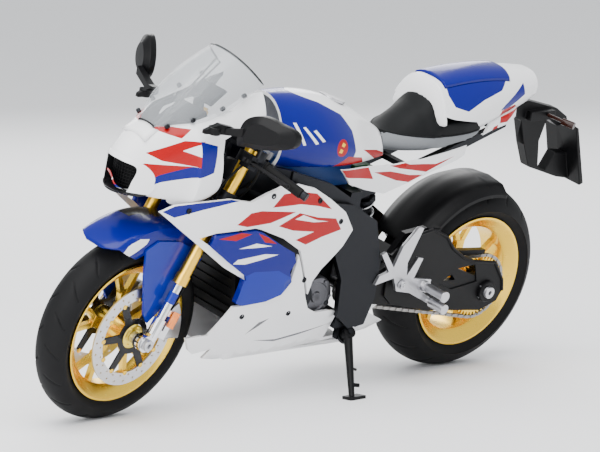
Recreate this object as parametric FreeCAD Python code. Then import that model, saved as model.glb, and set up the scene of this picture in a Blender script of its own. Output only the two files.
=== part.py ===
"""Radio-controlled sport motorcycle, about one eighth of full size, leaning on its side stand.

Every sub-part is modelled upright in the bike's own frame (millimetres): +X forward, +Y to the rider's left,
+Z up, origin on the ground midway between the axles.  The last step leans the bike onto its stand, so the
exported frame is the ground's: +Z up, floor at z = 0.
"""

import FreeCAD, Part
import math
import os

Vec = FreeCAD.Vector

# ---- driving dimensions ----
WHEELBASE = 182.0
FRONT_RADIUS, FRONT_WIDTH = 37.8, 15.0
REAR_RADIUS, REAR_WIDTH = 40.6, 25.0
FRONT_AXLE_HEIGHT, REAR_AXLE_HEIGHT = 37.5, 40.75
RIM_LIP = 28.6
RAKE = 24.0
TRAIL = 12.75
STEER_AT_REST = 5.0
FULL_LOCK = 15.0
FORK_TRAVEL = 8.0
LEAN = 16.5
# The lean turns the bike about the ground line; this shift then puts the box's bottom centre at the origin.
STAND_SHIFT = Vec(10.65, -29.56, 0.48)

FRONT_AXLE = Vec(WHEELBASE / 2, 0, FRONT_AXLE_HEIGHT)
REAR_AXLE = Vec(-WHEELBASE / 2, 0, REAR_AXLE_HEIGHT)
PIVOT = Vec(-14, 0, 48)
RUN = 0.06
AXLE_RADIUS, AXLE_BORE = 1.5, 0.9

# Steering frame: local w runs up the steering axis from the ground, local u is forward and square to it.
STEER_FOOT = Vec(WHEELBASE / 2 + TRAIL, 0, 0)
LEG_U, LEG_Y = 0.64, 15.0
AXLE_U, AXLE_W = 3.60, 39.44
STEM_RADIUS = 2.5
GOLD_RADIUS, CHROME_RADIUS = 2.5, 1.7
GOLD_BOTTOM, GOLD_TOP = 65.4, 128.0

# Chain line and sprockets
CHAIN_Y, CHAIN_HALF = 15.0, 0.9
REAR_PITCH_RADIUS, FRONT_PITCH_RADIUS = 12.5, 5.0

# Side stand
STAND_PIVOT = Vec(-13.5, 20.6, 29.6)
STAND_FOOT_Y = 39.0
LEAN_ANGLE = math.radians(LEAN)
STAND_FOOT_Z = STAND_FOOT_Y * math.tan(LEAN_ANGLE) - STAND_SHIFT.z / math.cos(LEAN_ANGLE)
STAND_FOOT = Vec(-5.4, STAND_FOOT_Y, STAND_FOOT_Z)

# Shock absorber
SHOCK_TOP, SHOCK_EYE = Vec(-27, 0, 86), Vec(-38, 0, 47)

ORIGIN = Vec(0, 0, 0)
ALONG_X, ALONG_Y, ALONG_Z = Vec(1, 0, 0), Vec(0, 1, 0), Vec(0, 0, 1)


# ---- small shape helpers ----
def rod(start, end, radius):
    return Part.makeCylinder(radius, (end - start).Length, start, end - start)


def block(x0, x1, y0, y1, z0, z1):
    return Part.makeBox(x1 - x0, y1 - y0, z1 - z0, Vec(x0, y0, z0))


def closed(points, smooth=False):
    if smooth:
        curve = Part.BSplineCurve()
        curve.interpolate(Points=points, PeriodicFlag=True)
        return Part.Wire([curve.toShape()])
    return Part.makePolygon(points + [points[0]])


def side_plate(outline, y0, y1, smooth=False):
    """A flat plate whose outline is given in the side view as (x, z)."""
    wire = closed([Vec(x, y0, z) for x, z in outline], smooth)
    return Part.Face(wire).extrude(Vec(0, y1 - y0, 0))


def mirrored(shape):
    return shape.mirror(ORIGIN, ALONG_Y)


def pair(shape):
    return Part.makeCompound([shape, mirrored(shape)])


def fused(first, *others):
    return first.fuse(list(others)).removeSplitter()


def ring(centre, outer, inner, y0, y1):
    """A ring about an axle that runs along Y."""
    base = Vec(centre.x, y0, centre.z)
    body = Part.makeCylinder(outer, y1 - y0, base, ALONG_Y)
    return body.cut(Part.makeCylinder(inner, y1 - y0, base, ALONG_Y))


def disc(centre, radius, y0, y1):
    return Part.makeCylinder(radius, y1 - y0, Vec(centre.x, y0, centre.z), ALONG_Y)


def lathe(centre, profile, smooth=False):
    """Turns a closed (y, radius) profile about the axle through centre."""
    wire = closed([Vec(centre.x, y, centre.z + r) for y, r in profile], smooth)
    return Part.Face(wire).revolve(centre, ALONG_Y, 360)


def polar(centre, radius, angle, y=0.0):
    a = math.radians(angle)
    return Vec(centre.x + radius * math.cos(a), y, centre.z + radius * math.sin(a))


def around(shape, centre, angle):
    copy = shape.copy()
    copy.rotate(centre, ALONG_Y, angle)
    return copy


def skin(half_width, x_range, z_range, columns=9, rows=9, inset=0.0):
    """The right-hand-rule face y = half_width(x, z) over a rectangle in the side view."""
    surface = Part.BSplineSurface()
    xs = [x_range[0] + (x_range[1] - x_range[0]) * i / (columns - 1) for i in range(columns)]
    zs = [z_range[0] + (z_range[1] - z_range[0]) * j / (rows - 1) for j in range(rows)]
    surface.interpolate([[Vec(x, half_width(x, z) - inset, z) for z in zs] for x in xs])
    return surface.toShape()


def panel(half_width, outline, thickness, smooth=False, proud=0.0):
    """A moulded side panel: the body surface cut to an outline, with its thickness inwards."""
    xs, zs = [p[0] for p in outline], [p[1] for p in outline]
    face = skin(half_width, (min(xs) - 2, max(xs) + 2), (min(zs) - 2, max(zs) + 2), inset=-proud)
    slab = face.extrude(Vec(0, -thickness, 0))
    return slab.common(side_plate(outline, 2, 45, smooth))


def section(x, half, slope=0.0):
    """A closed smooth section across the bike from half of its (y,
            z) points, bottom centre to top centre."""
    whole = half + [(-y, z) for y, z in half[-2:0:-1]]
    return closed([Vec(x + slope * (z - half[0][1]), y, z) for y, z in whole], smooth=True)


def lofted(sections):
    return Part.makeLoft([section(*s) for s in sections], True, False)


def shrunk(half, wall):
    """The same half section, moved in by a wall thickness."""
    middle = (half[0][1] + half[-1][1]) / 2
    height = (half[-1][1] - half[0][1]) / 2
    width = max(y for y, z in half)
    return [(y * (width - wall) / width, middle + (z - middle) * (height - wall) / height) for y, z in half]


def shell(sections, wall, overrun=3.0):
    """A hollow loft, open at both ends."""
    outer = lofted(sections)
    inner = [(s[0], shrunk(s[1], wall)) + tuple(s[2:]) for s in sections]
    hollow = lofted(inner)
    for end, step in ((inner[0], inner[0][0] - inner[1][0]), (inner[-1], inner[-1][0] - inner[-2][0])):
        reach = math.copysign(overrun, step)
        face = Part.Face(section(*end))
        hollow = hollow.fuse(face.extrude(Vec(reach, 0, 0)))
    return outer.cut(hollow)


# ---- placing ----
def steering_place():
    return FreeCAD.Placement(STEER_FOOT, FreeCAD.Rotation(ALONG_Y, -RAKE))


def from_steering(shape):
    """Puts a shape made in the steering frame onto the bike, straight ahead."""
    copy = shape.copy()
    copy.Placement = steering_place().multiply(copy.Placement)
    return copy


def steering_direction():
    return FreeCAD.Rotation(ALONG_Y, -RAKE).multVec(ALONG_Z)


def turned(shape, lock):
    """Turns a straight-ahead shape about the steering axis."""
    copy = shape.copy()
    copy.rotate(STEER_FOOT, steering_direction(), lock)
    return copy


def steered(shape):
    """Turns a straight-ahead shape to the small left lock that the bars rest at."""
    return turned(shape, STEER_AT_REST)


def on_stand(shape):
    """Leans the upright bike to its left and sets it on the floor."""
    copy = shape.copy()
    copy.rotate(ORIGIN, ALONG_X, -LEAN)
    copy.translate(STAND_SHIFT)
    return copy


# ---- body surface shared by the side panels ----
def half_width(x, z):
    ahead, behind = max(0.0, x - 25), max(0.0, 25 - x)
    below, above = max(0.0, 72 - z), max(0.0, z - 80)
    width = 27.0 - 8 * (ahead / 70) ** 2 - 5 * (behind / 60) ** 2
    return width - 10 * (below / 45) ** 2 - 7 * (above / 35) ** 2


# ---- wheels ----
def tyre(centre, radius, width, bead):
    crown = width * 0.5
    half = [
        (bead, RIM_LIP + 0.3),
        (crown * 0.97, RIM_LIP + (radius - RIM_LIP) * 0.28),
        (crown, radius - width * 0.33),
        (crown * 0.8, radius - width * 0.17),
        (crown * 0.45, radius - width * 0.045),
    ]
    outer = half + [(0, radius)] + [(-y, r) for y, r in half[::-1]]
    curve = Part.BSplineCurve()
    curve.interpolate([Vec(centre.x, y, centre.z + r) for y, r in outer])
    seat = RIM_LIP - 1.9
    inner = [(-bead, RIM_LIP + 0.3), (-bead + 0.9, seat), (bead - 0.9, seat), (bead, RIM_LIP + 0.3)]
    base = Part.makePolygon([Vec(centre.x, y, centre.z + r) for y, r in inner])
    return Part.Face(Part.Wire([curve.toShape()] + base.Edges)).revolve(centre, ALONG_Y, 360)


def rim(centre, bead, hub_radius, hub_half, spokes=5):
    lip, seat, well = RIM_LIP, RIM_LIP - 2.0, RIM_LIP - 4.6
    half = [(bead + 0.9, lip), (bead + 0.9, lip - 0.9), (bead - 0.9, seat - 1.0), (bead - 3.0, well - 0.9)]
    top = [(bead - 2.6, well), (bead - 1.0, seat - 0.02), (bead + 0.1, lip)]
    profile = half + [(-y, r) for y, r in half[::-1]] + [(-y, r) for y, r in top[::-1]] + top
    barrel = lathe(centre, profile)
    hub = disc(centre, hub_radius, -hub_half, hub_half)
    pieces = [hub]
    fork_at, end_at, spread = 15.0, well - 0.4, 13.0
    for k in range(spokes):
        turn = 90 + 360 / spokes * k
        root = [polar(centre, hub_radius - 1, turn + s * 22) for s in (-1, 1)]
        split = [polar(centre, fork_at, turn + s * 9) for s in (-1, 1)]
        pieces.append(tapered_spoke(root, split[::-1], 2.6))
        for side in (-1, 1):
            inner_end = [polar(centre, fork_at - 0.6, turn + side * a) for a in (0, 9.5)]
            outer_end = [polar(centre, end_at, turn + side * a) for a in (spread - 2.6, spread + 2.6)]
            pieces.append(tapered_spoke(inner_end, outer_end[::-1], 2.2))
    bore = disc(centre, AXLE_RADIUS + RUN, -hub_half - 1, hub_half + 1)
    return fused(barrel, *pieces).cut(bore)


def tapered_spoke(inner_pair, outer_pair, thickness):
    outline = [(p.x, p.z) for p in inner_pair + outer_pair]
    return side_plate(outline, -thickness / 2, thickness / 2)


def brake_disc(centre, outer, inner, y0, thickness, hub, carriers=6):
    ring_part = ring(centre, outer, inner, y0, y0 + thickness)
    holes = []
    for k in range(24):
        for radius, offset in ((outer - 1.6, 0), (outer - 3.9, 7.5)):
            at = polar(centre, radius, 15 * k + offset, y0 - 1)
            holes.append(Part.makeCylinder(0.42, thickness + 2, at, ALONG_Y))
    ring_part = ring_part.cut(Part.makeCompound(holes))
    carrier = ring(centre, hub + 2.2, hub, y0, y0 + thickness)
    arms = []
    for k in range(carriers):
        turn = 360 / carriers * k
        corners = [polar(centre, hub + 1.2, turn + s * 16) for s in (-1, 1)]
        corners += [polar(centre, inner + 0.5, turn + s * 5) for s in (1, -1)]
        arms.append(side_plate([(p.x, p.z) for p in corners], y0, y0 + thickness))
    return fused(ring_part, carrier, *arms)


def sprocket(centre, pitch_radius, teeth, y0, y1, bore, lightening=0):
    outer, root = pitch_radius + 0.75, pitch_radius - 0.75
    points = []
    for k in range(teeth):
        for share, radius in ((-0.36, root), (-0.12, outer), (0.12, outer), (0.36, root)):
            p = polar(centre, radius, 360 * (k + share) / teeth)
            points.append((p.x, p.z))
    body = side_plate(points, y0, y1).cut(disc(centre, bore, y0 - 1, y1 + 1))
    for k in range(lightening):
        middle = polar(centre, (bore + root) / 2, 360 / lightening * k, y0 - 1)
        body = body.cut(Part.makeCylinder(1.6, y1 - y0 + 2, middle, ALONG_Y))
    return body


# ---- front end, in the steering frame (u, y, w) ----
FRONT_BEAD, REAR_BEAD = 5.4, 9.6
FRONT_HUB_HALF, REAR_HUB_HALF = 8.6, 11.2


def leg_point(w, y=LEG_Y):
    return Vec(LEG_U, y, w)


def clamp_plate(w0, w1, reach):
    plate = block(-3.2, 4.4, -reach, reach, w0, w1)
    ends = [rod(leg_point(w0, s * LEG_Y), leg_point(w1, s * LEG_Y), GOLD_RADIUS + 1.5) for s in (-1, 1)]
    centre = rod(Vec(0, 0, w0), Vec(0, 0, w1), 5.0)
    return fused(plate, centre, *ends)


def triple_clamps():
    upper = clamp_plate(123.4, 126.4, LEG_Y)
    lower = clamp_plate(100.8, 105.0, LEG_Y)
    stem = rod(Vec(0, 0, 101), Vec(0, 0, 125), STEM_RADIUS)
    nut = rod(Vec(0, 0, 126), Vec(0, 0, 127.6), 2.6)
    arm = block(-9.3, 0.0, -1.7, 1.7, LINK_W - 3.0, 123.5)
    arm = arm.cut(rod(Vec(-SERVO_ARM, 0, LINK_W - 5), Vec(-SERVO_ARM, 0, LINK_W), 0.9))
    body = fused(upper, lower, stem, nut, arm)
    for s in (-1, 1):
        body = body.cut(rod(leg_point(90, s * LEG_Y), leg_point(130, s * LEG_Y), GOLD_RADIUS))
    return body


def fork_tubes():
    outer = rod(leg_point(GOLD_BOTTOM), leg_point(GOLD_TOP), GOLD_RADIUS)
    seal = rod(leg_point(GOLD_BOTTOM), leg_point(GOLD_BOTTOM + 4), GOLD_RADIUS + 0.4)
    cap = rod(leg_point(GOLD_TOP), leg_point(GOLD_TOP + 0.9), GOLD_RADIUS - 0.7)
    bore = rod(leg_point(GOLD_BOTTOM - 1), leg_point(GOLD_TOP - 8), CHROME_RADIUS + RUN)
    return pair(fused(outer, seal, cap).cut(bore))


GRIP_START, GRIP_END = Vec(-3.2, 21.5, 119.6), Vec(-10.2, 37.5, 117.4)
GRIP_RADIUS, BAR_RADIUS = 2.0, 1.25


LEVER_PIVOT = Vec(5.4, 20.0, 118.8)
LEVER_TIP = Vec(-2.2, 36.0, 117.4)


def handlebar_left():
    direction = (GRIP_END - GRIP_START).normalize()
    clamp = rod(leg_point(117.6), leg_point(121.8), GOLD_RADIUS + 1.4)
    bar = rod(Vec(LEG_U - 1.6, LEG_Y + 2.6, 120.0), GRIP_START + direction, BAR_RADIUS)
    bar = fused(bar, rod(GRIP_START, GRIP_END + direction * 0.6, BAR_RADIUS))
    weight = rod(GRIP_END + direction * 0.3, GRIP_END + direction * 2.6, 1.7)
    switch_box = rod(GRIP_START - direction * 3.4, GRIP_START - direction * 0.2, 2.2)
    perch = block(-2.6, 2.4, 17.6, 20.4, 117.6, 120.6)
    ears = block(2.0, LEVER_PIVOT.x + 1.6, 17.8, 22.2, 116.2, 121.4)
    ears = ears.cut(block(2.8, LEVER_PIVOT.x + 3, 17, 23, 117.9, 119.7))
    pot = rod(Vec(1.6, 21.3, 120.4), Vec(1.6, 21.3, 124.6), 2.0)
    body = fused(clamp, bar, weight, switch_box, perch, ears, pot)
    body = body.cut(rod(leg_point(110), leg_point(130), GOLD_RADIUS))
    pin_hole = rod(LEVER_PIVOT - Vec(0, 0, 1.3), LEVER_PIVOT + Vec(0, 0, 1.3), 0.7)
    return body.cut(pin_hole)


def lever_left():
    """A hand lever with its own pivot boss, curved along the grip."""
    boss = rod(LEVER_PIVOT - Vec(0, 0, 0.75), LEVER_PIVOT + Vec(0, 0, 0.75), 1.5)
    pin = rod(LEVER_PIVOT - Vec(0, 0, 1.2), LEVER_PIVOT + Vec(0, 0, 1.2), 0.64)
    elbow = Vec(2.6, 25.0, 118.4)
    blade = rod(LEVER_PIVOT + Vec(-0.2, 1.0, 0), elbow, 0.72)
    blade = fused(blade, Part.makeSphere(0.72, elbow), rod(elbow, LEVER_TIP, 0.72),
            Part.makeSphere(1.05, LEVER_TIP))
    return fused(boss, pin, blade)


def grip_left():
    direction = (GRIP_END - GRIP_START).normalize()
    body = rod(GRIP_START, GRIP_END, GRIP_RADIUS)
    flange = rod(GRIP_START, GRIP_START + direction * 0.8, GRIP_RADIUS + 0.6)
    return fused(body, flange).cut(rod(GRIP_START - direction, GRIP_END + direction, BAR_RADIUS))


def fork_legs():
    chrome = rod(leg_point(AXLE_W + 3), leg_point(GOLD_TOP - 18), CHROME_RADIUS)
    boot = rod(leg_point(AXLE_W - 0.5), leg_point(AXLE_W + 11), CHROME_RADIUS + 0.75)
    knuckle = rod(Vec(AXLE_U, 12.9, AXLE_W), Vec(AXLE_U, 17.1, AXLE_W), 3.3)
    web = block(LEG_U - 1.2, AXLE_U, 13.2, 16.8, AXLE_W - 2.6, AXLE_W + 4.5)
    lug = block(-6.4, LEG_U, 13.3, 15.6, AXLE_W + 4.0, AXLE_W + 7.0)
    lug = fused(lug, block(-6.4, LEG_U, 13.3, 15.6, AXLE_W + 13.0, AXLE_W + 15.4))
    post = block(-6.4, -3.6, 13.3, 15.6, AXLE_W + 4.0, AXLE_W + 15.4)
    body = fused(chrome, boot, knuckle, web, lug, post)
    body = body.cut(rod(Vec(AXLE_U, 10, AXLE_W), Vec(AXLE_U, 20, AXLE_W), AXLE_RADIUS))
    for y0, y1 in ((10, 12.85), (17.15, 20)):
        body = body.cut(rod(Vec(AXLE_U, y0, AXLE_W), Vec(AXLE_U, y1, AXLE_W), 2.5))
    return pair(body)


def front_axle():
    shaft = rod(Vec(AXLE_U, -17.8, AXLE_W), Vec(AXLE_U, 17.8, AXLE_W), AXLE_RADIUS)
    nut = rod(Vec(AXLE_U, 17.2, AXLE_W), Vec(AXLE_U, 18.9, AXLE_W), 2.3)
    head = rod(Vec(AXLE_U, -18.9, AXLE_W), Vec(AXLE_U, -17.2, AXLE_W), 2.3)
    spacers = [rod(Vec(AXLE_U, s * 9.9, AXLE_W), Vec(AXLE_U, s * 12.8, AXLE_W), 2.4) for s in (-1, 1)]
    hollow = rod(Vec(AXLE_U, -20, AXLE_W), Vec(AXLE_U, 20, AXLE_W), AXLE_BORE)
    return fused(shaft, nut, head, *spacers).cut(hollow)


def front_caliper():
    """A radial caliper astride the disc, bolted to the leg's rear lugs."""
    centre = Vec(AXLE_U, 0, AXLE_W)
    outer = Part.makeCylinder(22.6, 5.0, Vec(centre.x, 7.4, centre.z), ALONG_Y)
    inner = Part.makeCylinder(14.6, 7.0, Vec(centre.x, 6.4, centre.z), ALONG_Y)
    wedge = side_plate([(centre.x, centre.z), (centre.x - 30, centre.z + 9), (centre.x - 18,
            centre.z + 28)], 7, 13)
    body = outer.cut(inner).common(wedge)
    slot = Part.makeCylinder(21.6, 1.6, Vec(centre.x, 8.6, centre.z), ALONG_Y)
    body = body.cut(slot)
    bridge = block(-10.6, -3.7, 11.6, 13.3, AXLE_W + 9.0, AXLE_W + 15.2)
    return fused(body, bridge)


FENDER_INNER, FENDER_WALL, FENDER_HALF = 42.0, 0.9, 9.8
FENDER_U, FENDER_W = AXLE_U - 1.9, AXLE_W + 3.1


FLAP = [(-8.5, AXLE_W + 38.6), (10.0, AXLE_W + 38.6), (9.0, AXLE_W + 26), (5.6, AXLE_W + 12), (1.5,
        AXLE_W + 7.5),
        (-2.2, AXLE_W + 16), (-6.4, AXLE_W + 24)]


def front_fender():
    """A crowned arch over the tyre with side flaps that bolt to the fork legs."""
    centre = Vec(FENDER_U, 0, FENDER_W)
    crown = FENDER_INNER + FENDER_WALL
    edge = crown - 3.2
    outer = [(-FENDER_HALF, edge - 5), (-FENDER_HALF, edge), (-FENDER_HALF * 0.6, crown - 0.7), (0, crown)]
    outer = outer + [(-y, r) for y, r in outer[-2::-1]]
    narrowing = (FENDER_HALF - FENDER_WALL) / FENDER_HALF
    inner = [(y * narrowing, r - (FENDER_WALL if r > edge - 4 else 0)) for y, r in outer]
    arch = lathe(centre, outer + inner[::-1])
    sector = [(centre.x, centre.z)]
    for angle in (27, 50, 75, 94, 112):
        corner = polar(centre, 60, angle)
        sector.append((corner.x, corner.z))
    arch = arch.common(side_plate(sector, -20, 20))
    flap = side_plate(FLAP, 11.0, 11.9)
    bridge = block(-5.5, 6.5, FENDER_HALF - 0.9, 11.9, AXLE_W + 37.4, AXLE_W + 38.6)
    arm = block(-1.0, 4.0, 11.0, 13.0, AXLE_W + 12.6, AXLE_W + 16)
    body = fused(arch, flap, mirrored(flap), bridge, mirrored(bridge), arm, mirrored(arm))
    return body.cut(pair(rod(leg_point(30), leg_point(90), CHROME_RADIUS + 0.05)))


# ---- steering servo and its link, in the steering frame ----
SERVO_ARM = 7.4
SERVO_U = -21.0
LINK_W = 124.6


def steering_servo():
    case = block(SERVO_U - 8.0, SERVO_U + 3.5, -5.2, 5.2, LINK_W - 14.0, LINK_W - 4.8)
    tabs = block(SERVO_U - 7.5, SERVO_U + 3.1, -7.0, 7.0, LINK_W - 8.8, LINK_W - 7.8)
    boss = rod(Vec(SERVO_U, 0, LINK_W - 4.9), Vec(SERVO_U, 0, LINK_W - 4.0), 2.2)
    return fused(case, tabs, boss)


def servo_horn():
    """The servo's arm, turned to the same small lock as the bars."""
    hub = rod(Vec(SERVO_U, 0, LINK_W - 3.9), Vec(SERVO_U, 0, LINK_W - 2.4), 1.9)
    arm = block(SERVO_U - SERVO_ARM, SERVO_U, -1.1, 1.1, LINK_W - 3.7, LINK_W - 2.6)
    eye = rod(Vec(SERVO_U - SERVO_ARM, 0, LINK_W - 3.7), Vec(SERVO_U - SERVO_ARM, 0, LINK_W - 2.6), 1.6)
    ball = rod(Vec(SERVO_U - SERVO_ARM, 0, LINK_W - 2.7), Vec(SERVO_U - SERVO_ARM, 0, LINK_W - 0.5), 0.64)
    horn = fused(hub, arm, eye, ball)
    horn.rotate(Vec(SERVO_U, 0, 0), ALONG_Z, STEER_AT_REST)
    return horn


def steering_link():
    """A push rod that keeps parallel: one eye on the horn's pin, one pin in the upper clamp's arm."""
    front, back = Vec(-SERVO_ARM, 0, 0), Vec(SERVO_U - SERVO_ARM, 0, 0)
    bar = block(back.x + 0.5, front.x + 0.6, -0.7, 0.7, LINK_W, LINK_W + 1.0)
    eye = rod(Vec(back.x, 0, LINK_W - 2.2), Vec(back.x, 0, LINK_W + 1.0), 1.4)
    eye = eye.cut(rod(Vec(back.x, 0, LINK_W - 3), Vec(back.x, 0, LINK_W - 0.3), 0.7))
    pin = rod(Vec(front.x, 0, LINK_W - 2.6), Vec(front.x, 0, LINK_W + 0.5), 0.6)
    link = fused(bar, eye, pin)
    lock = math.radians(STEER_AT_REST)
    link.translate(Vec(SERVO_ARM * (1 - math.cos(lock)), -SERVO_ARM * math.sin(lock), 0))
    return link


# ---- chassis ----
SPAR = [(34, 103.6), (34, 90), (22, 84), (12, 76), (6, 66), (-14, 66), (-15, 78), (-4, 88), (12, 97)]
PIVOT_PLATE = [(6, 70), (-2, 56), (-4, 40), (-12, 33.6), (-20, 35), (-23, 46), (-22, 62), (-15, 80), (0,
        88), (12, 90)]


def main_frame():
    head = rod(Vec(0, 0, 105.2), Vec(0, 0, 117.0), 4.4).cut(rod(Vec(0, 0, 104), Vec(0, 0, 119),
            STEM_RADIUS + RUN))
    head = from_steering(head)
    yoke = Part.makeLoft(
        [
            closed([Vec(57.5, 1.0, 97.5), Vec(57.5, 4.0, 97.5), Vec(57.5, 4.0, 105.5), Vec(57.5, 1.0,
                    105.5)]),
            closed([Vec(32, 17.6, 90), Vec(32, 20.6, 90), Vec(32, 20.6, 103.6), Vec(32, 17.6, 103.6)]),
        ],
        True,
        True,
    )
    bore = from_steering(rod(Vec(0, 0, 95), Vec(0, 0, 125), STEM_RADIUS + RUN))
    clear = from_steering(rod(Vec(0, 0, 90), Vec(0, 0, 105.2), 9.5).fuse(rod(Vec(0, 0, 117.0), Vec(0, 0,
            130), 9.5)))
    spar = side_plate(SPAR, 17.6, 20.6)
    plate = side_plate(PIVOT_PLATE, 20.6, 23.0)
    side = fused(yoke, spar, plate)
    cross = block(-9, -3, -17.7, 17.7, 84, 90.8)
    shock_mount = block(-30, -8.5, -6, 6, 89.4, 90.8)
    post = [block(SHOCK_TOP.x - 2, SHOCK_TOP.x + 2, s * 4.9 - 1.1, s * 4.9 + 1.1, 83.6,
            89.8) for s in (-1, 1)]
    pin = disc(SHOCK_TOP, 1.2, -5.2, 5.2)
    lower = block(-14, -9, -17.7, 17.7, 34, 37.5)
    lower_left = block(-20, -6, 17.6, 20.7, 33.6, 40)
    pivot_shaft = disc(PIVOT, 1.9, -22.5, 22.5)
    body = fused(head, side, mirrored(side), cross, shock_mount, lower, lower_left,
            mirrored(lower_left), pin, pivot_shaft, *post)
    lug = rod(STAND_PIVOT - STAND_AXIS * 1.6, STAND_PIVOT, 3.0)
    stand_room = rod(STAND_PIVOT, STAND_PIVOT + STAND_AXIS * 5, 3.1)
    stand_pin = rod(STAND_PIVOT - STAND_AXIS * 1.0, STAND_PIVOT + STAND_AXIS * 4.8, 1.0)
    arm = block(-17.0, -10.0, 17.0, 19.6, 28.0, 37)
    body = fused(body, arm, lug).cut(stand_room).fuse(stand_pin)
    return body.cut(clear).cut(bore)


def subframe():
    rail = side_plate([(-9.1, 84), (-9.1, 88), (-40, 96), (-92, 112), (-92, 109.5), (-44, 92.5), (-16,
            84)], 8.0, 10.5)
    bars = [block(x, x + 3, -8.1, 8.1, z, z + 2.2) for x, z in ((-44, 93.4), (-88, 108.4))]
    mount = block(-16, -9.1, 6.1, 8.1, 84.5, 87.0)
    return fused(rail, mirrored(rail), mount, mirrored(mount), *bars)


def engine_block():
    case = side_plate([(-4, 40), (30, 36), (36, 44), (35, 58), (28, 62), (-2, 66), (-4, 60)], -15, 15)
    cylinders = side_plate([(10, 62), (31, 58), (38, 78), (20, 84)], -13.5, 13.5)
    head = side_plate([(19, 81), (38, 75), (41, 84), (26, 90)], -14.5, 14.5)
    sump = side_plate([(2, 40), (28, 37), (24, 31), (8, 31)], -10, 10)
    return fused(case, cylinders, head, sump)


def engine_covers():
    left = fused(disc(Vec(16, 0, 49), 9.6, 15, 19.4), disc(Vec(16, 0, 49), 6.2, 19.4, 20.2), block(6,
            20, 15, 17.2, 55, 62))
    right = fused(disc(Vec(12, 0, 51), 10.6, -19.6, -15), disc(Vec(12, 0, 51), 7.0, -20.4, -19.6))
    return Part.makeCompound([left, right])


RADIATOR_TOP, RADIATOR_FOOT = Vec(56.0, 0, 86), Vec(46.4, 0, 34)


def radiator_x(z):
    """Where the radiator's sloping front face stands at a height."""
    slope = (RADIATOR_TOP.x - RADIATOR_FOOT.x) / (RADIATOR_TOP.z - RADIATOR_FOOT.z)
    return RADIATOR_FOOT.x + slope * (z - RADIATOR_FOOT.z)


def radiator_slab(front, back, low, high, half):
    """Part of the sloping radiator: distances behind its front face, and heights."""
    foot, top = radiator_x(low), radiator_x(high)
    outline = [(foot - back, low), (foot - front, low), (top - front, high), (top - back, high)]
    return side_plate(outline, half[0], half[1])


def radiator():
    core = radiator_slab(0.8, 3.4, 40, 86, (-16.6, 16.6))
    tank = radiator_slab(0.0, 4.0, 39, 87, (16.5, 18.6))
    fins = [radiator_slab(0.3, 1.0, z, z + 1.0, (-16.6, 16.6)) for z in range(42, 85, 4)]
    return fused(core, tank, mirrored(tank), *fins)


def exhaust():
    """Four headers under the engine to one silencer low on the right."""
    pipes = []
    for y in (-9, -3, 3, 9):
        bend = [Vec(40.6, y, 72), Vec(44.0, y, 66), Vec(37.0, y, 40), Vec(30, y * 0.8, 30.2), Vec(14,
                y * 0.45, 28.6)]
        for a, b in zip(bend, bend[1:]):
            pipes.append(rod(a, b, 1.4))
        pipes += [Part.makeSphere(1.4, p) for p in bend[1:-1]]
    box = block(-6, 16, -7, 7, 27.2, 30.4)
    link = rod(Vec(-3, -4, 28.6), Vec(-9.5, -25.6, 27.6), 2.1)
    start, end = Vec(-16, -27.0, 27.6), Vec(-50, -29.0, 31.6)
    can = rod(start, end, 5.6)
    nose = Part.makeCone(2.4, 5.6, 7, start + (start - end).normalize() * 7, end - start)
    tip = rod(end, end + (end - start).normalize() * 2.2, 3.4)
    hole = rod(end - (end - start).normalize() * 9, end + (end - start).normalize() * 3, 2.7)
    return fused(pipes[0], *pipes[1:], box, link, can, nose, tip).cut(hole)


def fuel_tank():
    sections = [
        (37, [(0, 101), (11.0, 101.5), (14.5, 108), (12.0, 121), (6.0, 127.6), (0, 129.2)]),
        (24, [(0, 100), (13.8, 100.5), (17.8, 108), (14.5, 121), (7.2, 127.4), (0, 129.0)]),
        (8, [(0, 99), (14.6, 99.5), (18.2, 106), (14.6, 118), (7.2, 125.0), (0, 126.6)]),
        (-8, [(0, 98.5), (12.0, 98.8), (14.8, 103), (11.8, 112), (6.0, 118.8), (0, 120.6)]),
        (-25, [(0, 98.2), (7.4, 98.3), (9.0, 101), (7.4, 106), (4.0, 110.4), (0, 111.4)]),
    ]
    body = shell(sections, 1.3)
    floor = side_plate([(-40, 90), (50, 90), (50, 103.4), (24, 103.2), (-40, 101.2)], -30, 30)
    return body.cut(floor).cut(fuel_cap_plug(4.4))


def disc_up(base, radius, height):
    return Part.makeCylinder(radius, height, base, ALONG_Z)


CAP_PLACE = FreeCAD.Placement(Vec(1.2, 0, 123.0), FreeCAD.Rotation(ALONG_Y, -17))


def fuel_cap_plug(radius):
    plug = Part.makeCylinder(radius, 8.0, Vec(0, 0, -4.0))
    plug.Placement = CAP_PLACE
    return plug


CAP_PROUD = 1.0


def fuel_cap():
    plug = Part.makeCylinder(4.2, 4.0, Vec(0, 0, -3.0))
    top = Part.makeCylinder(5.4, 0.9, Vec(0, 0, CAP_PROUD))
    cap = fused(plug, top)
    cap.Placement = CAP_PLACE
    return cap


SEAT_SECTIONS = [
    (-25.4, [(0, 103.4), (5.6, 103.5), (7.6, 105.6), (6.2, 108.4), (3.0, 109.8), (0, 110.2)]),
    (-35, [(0, 103.0), (9.2, 103.2), (11.6, 106.2), (9.4, 110.2), (4.6, 112.6), (0, 113.2)]),
    (-44, [(0, 103.4), (11.6, 103.6), (14.2, 107.0), (11.4, 113.0), (6.0, 118.4), (0, 119.6)]),
    (-49.4, [(0, 103.6), (12.0, 103.8), (14.4, 107.4), (12.0, 115.0), (6.6, 121.6), (0, 122.8)]),
]
SEAT_REAR = [(-46, 104.2), (-46, 111.6), (-52, 112.6), (-62, 113.2), (-71, 112.4), (-75.5, 110), (-74,
        107.6), (-52, 104.0)]


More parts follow.
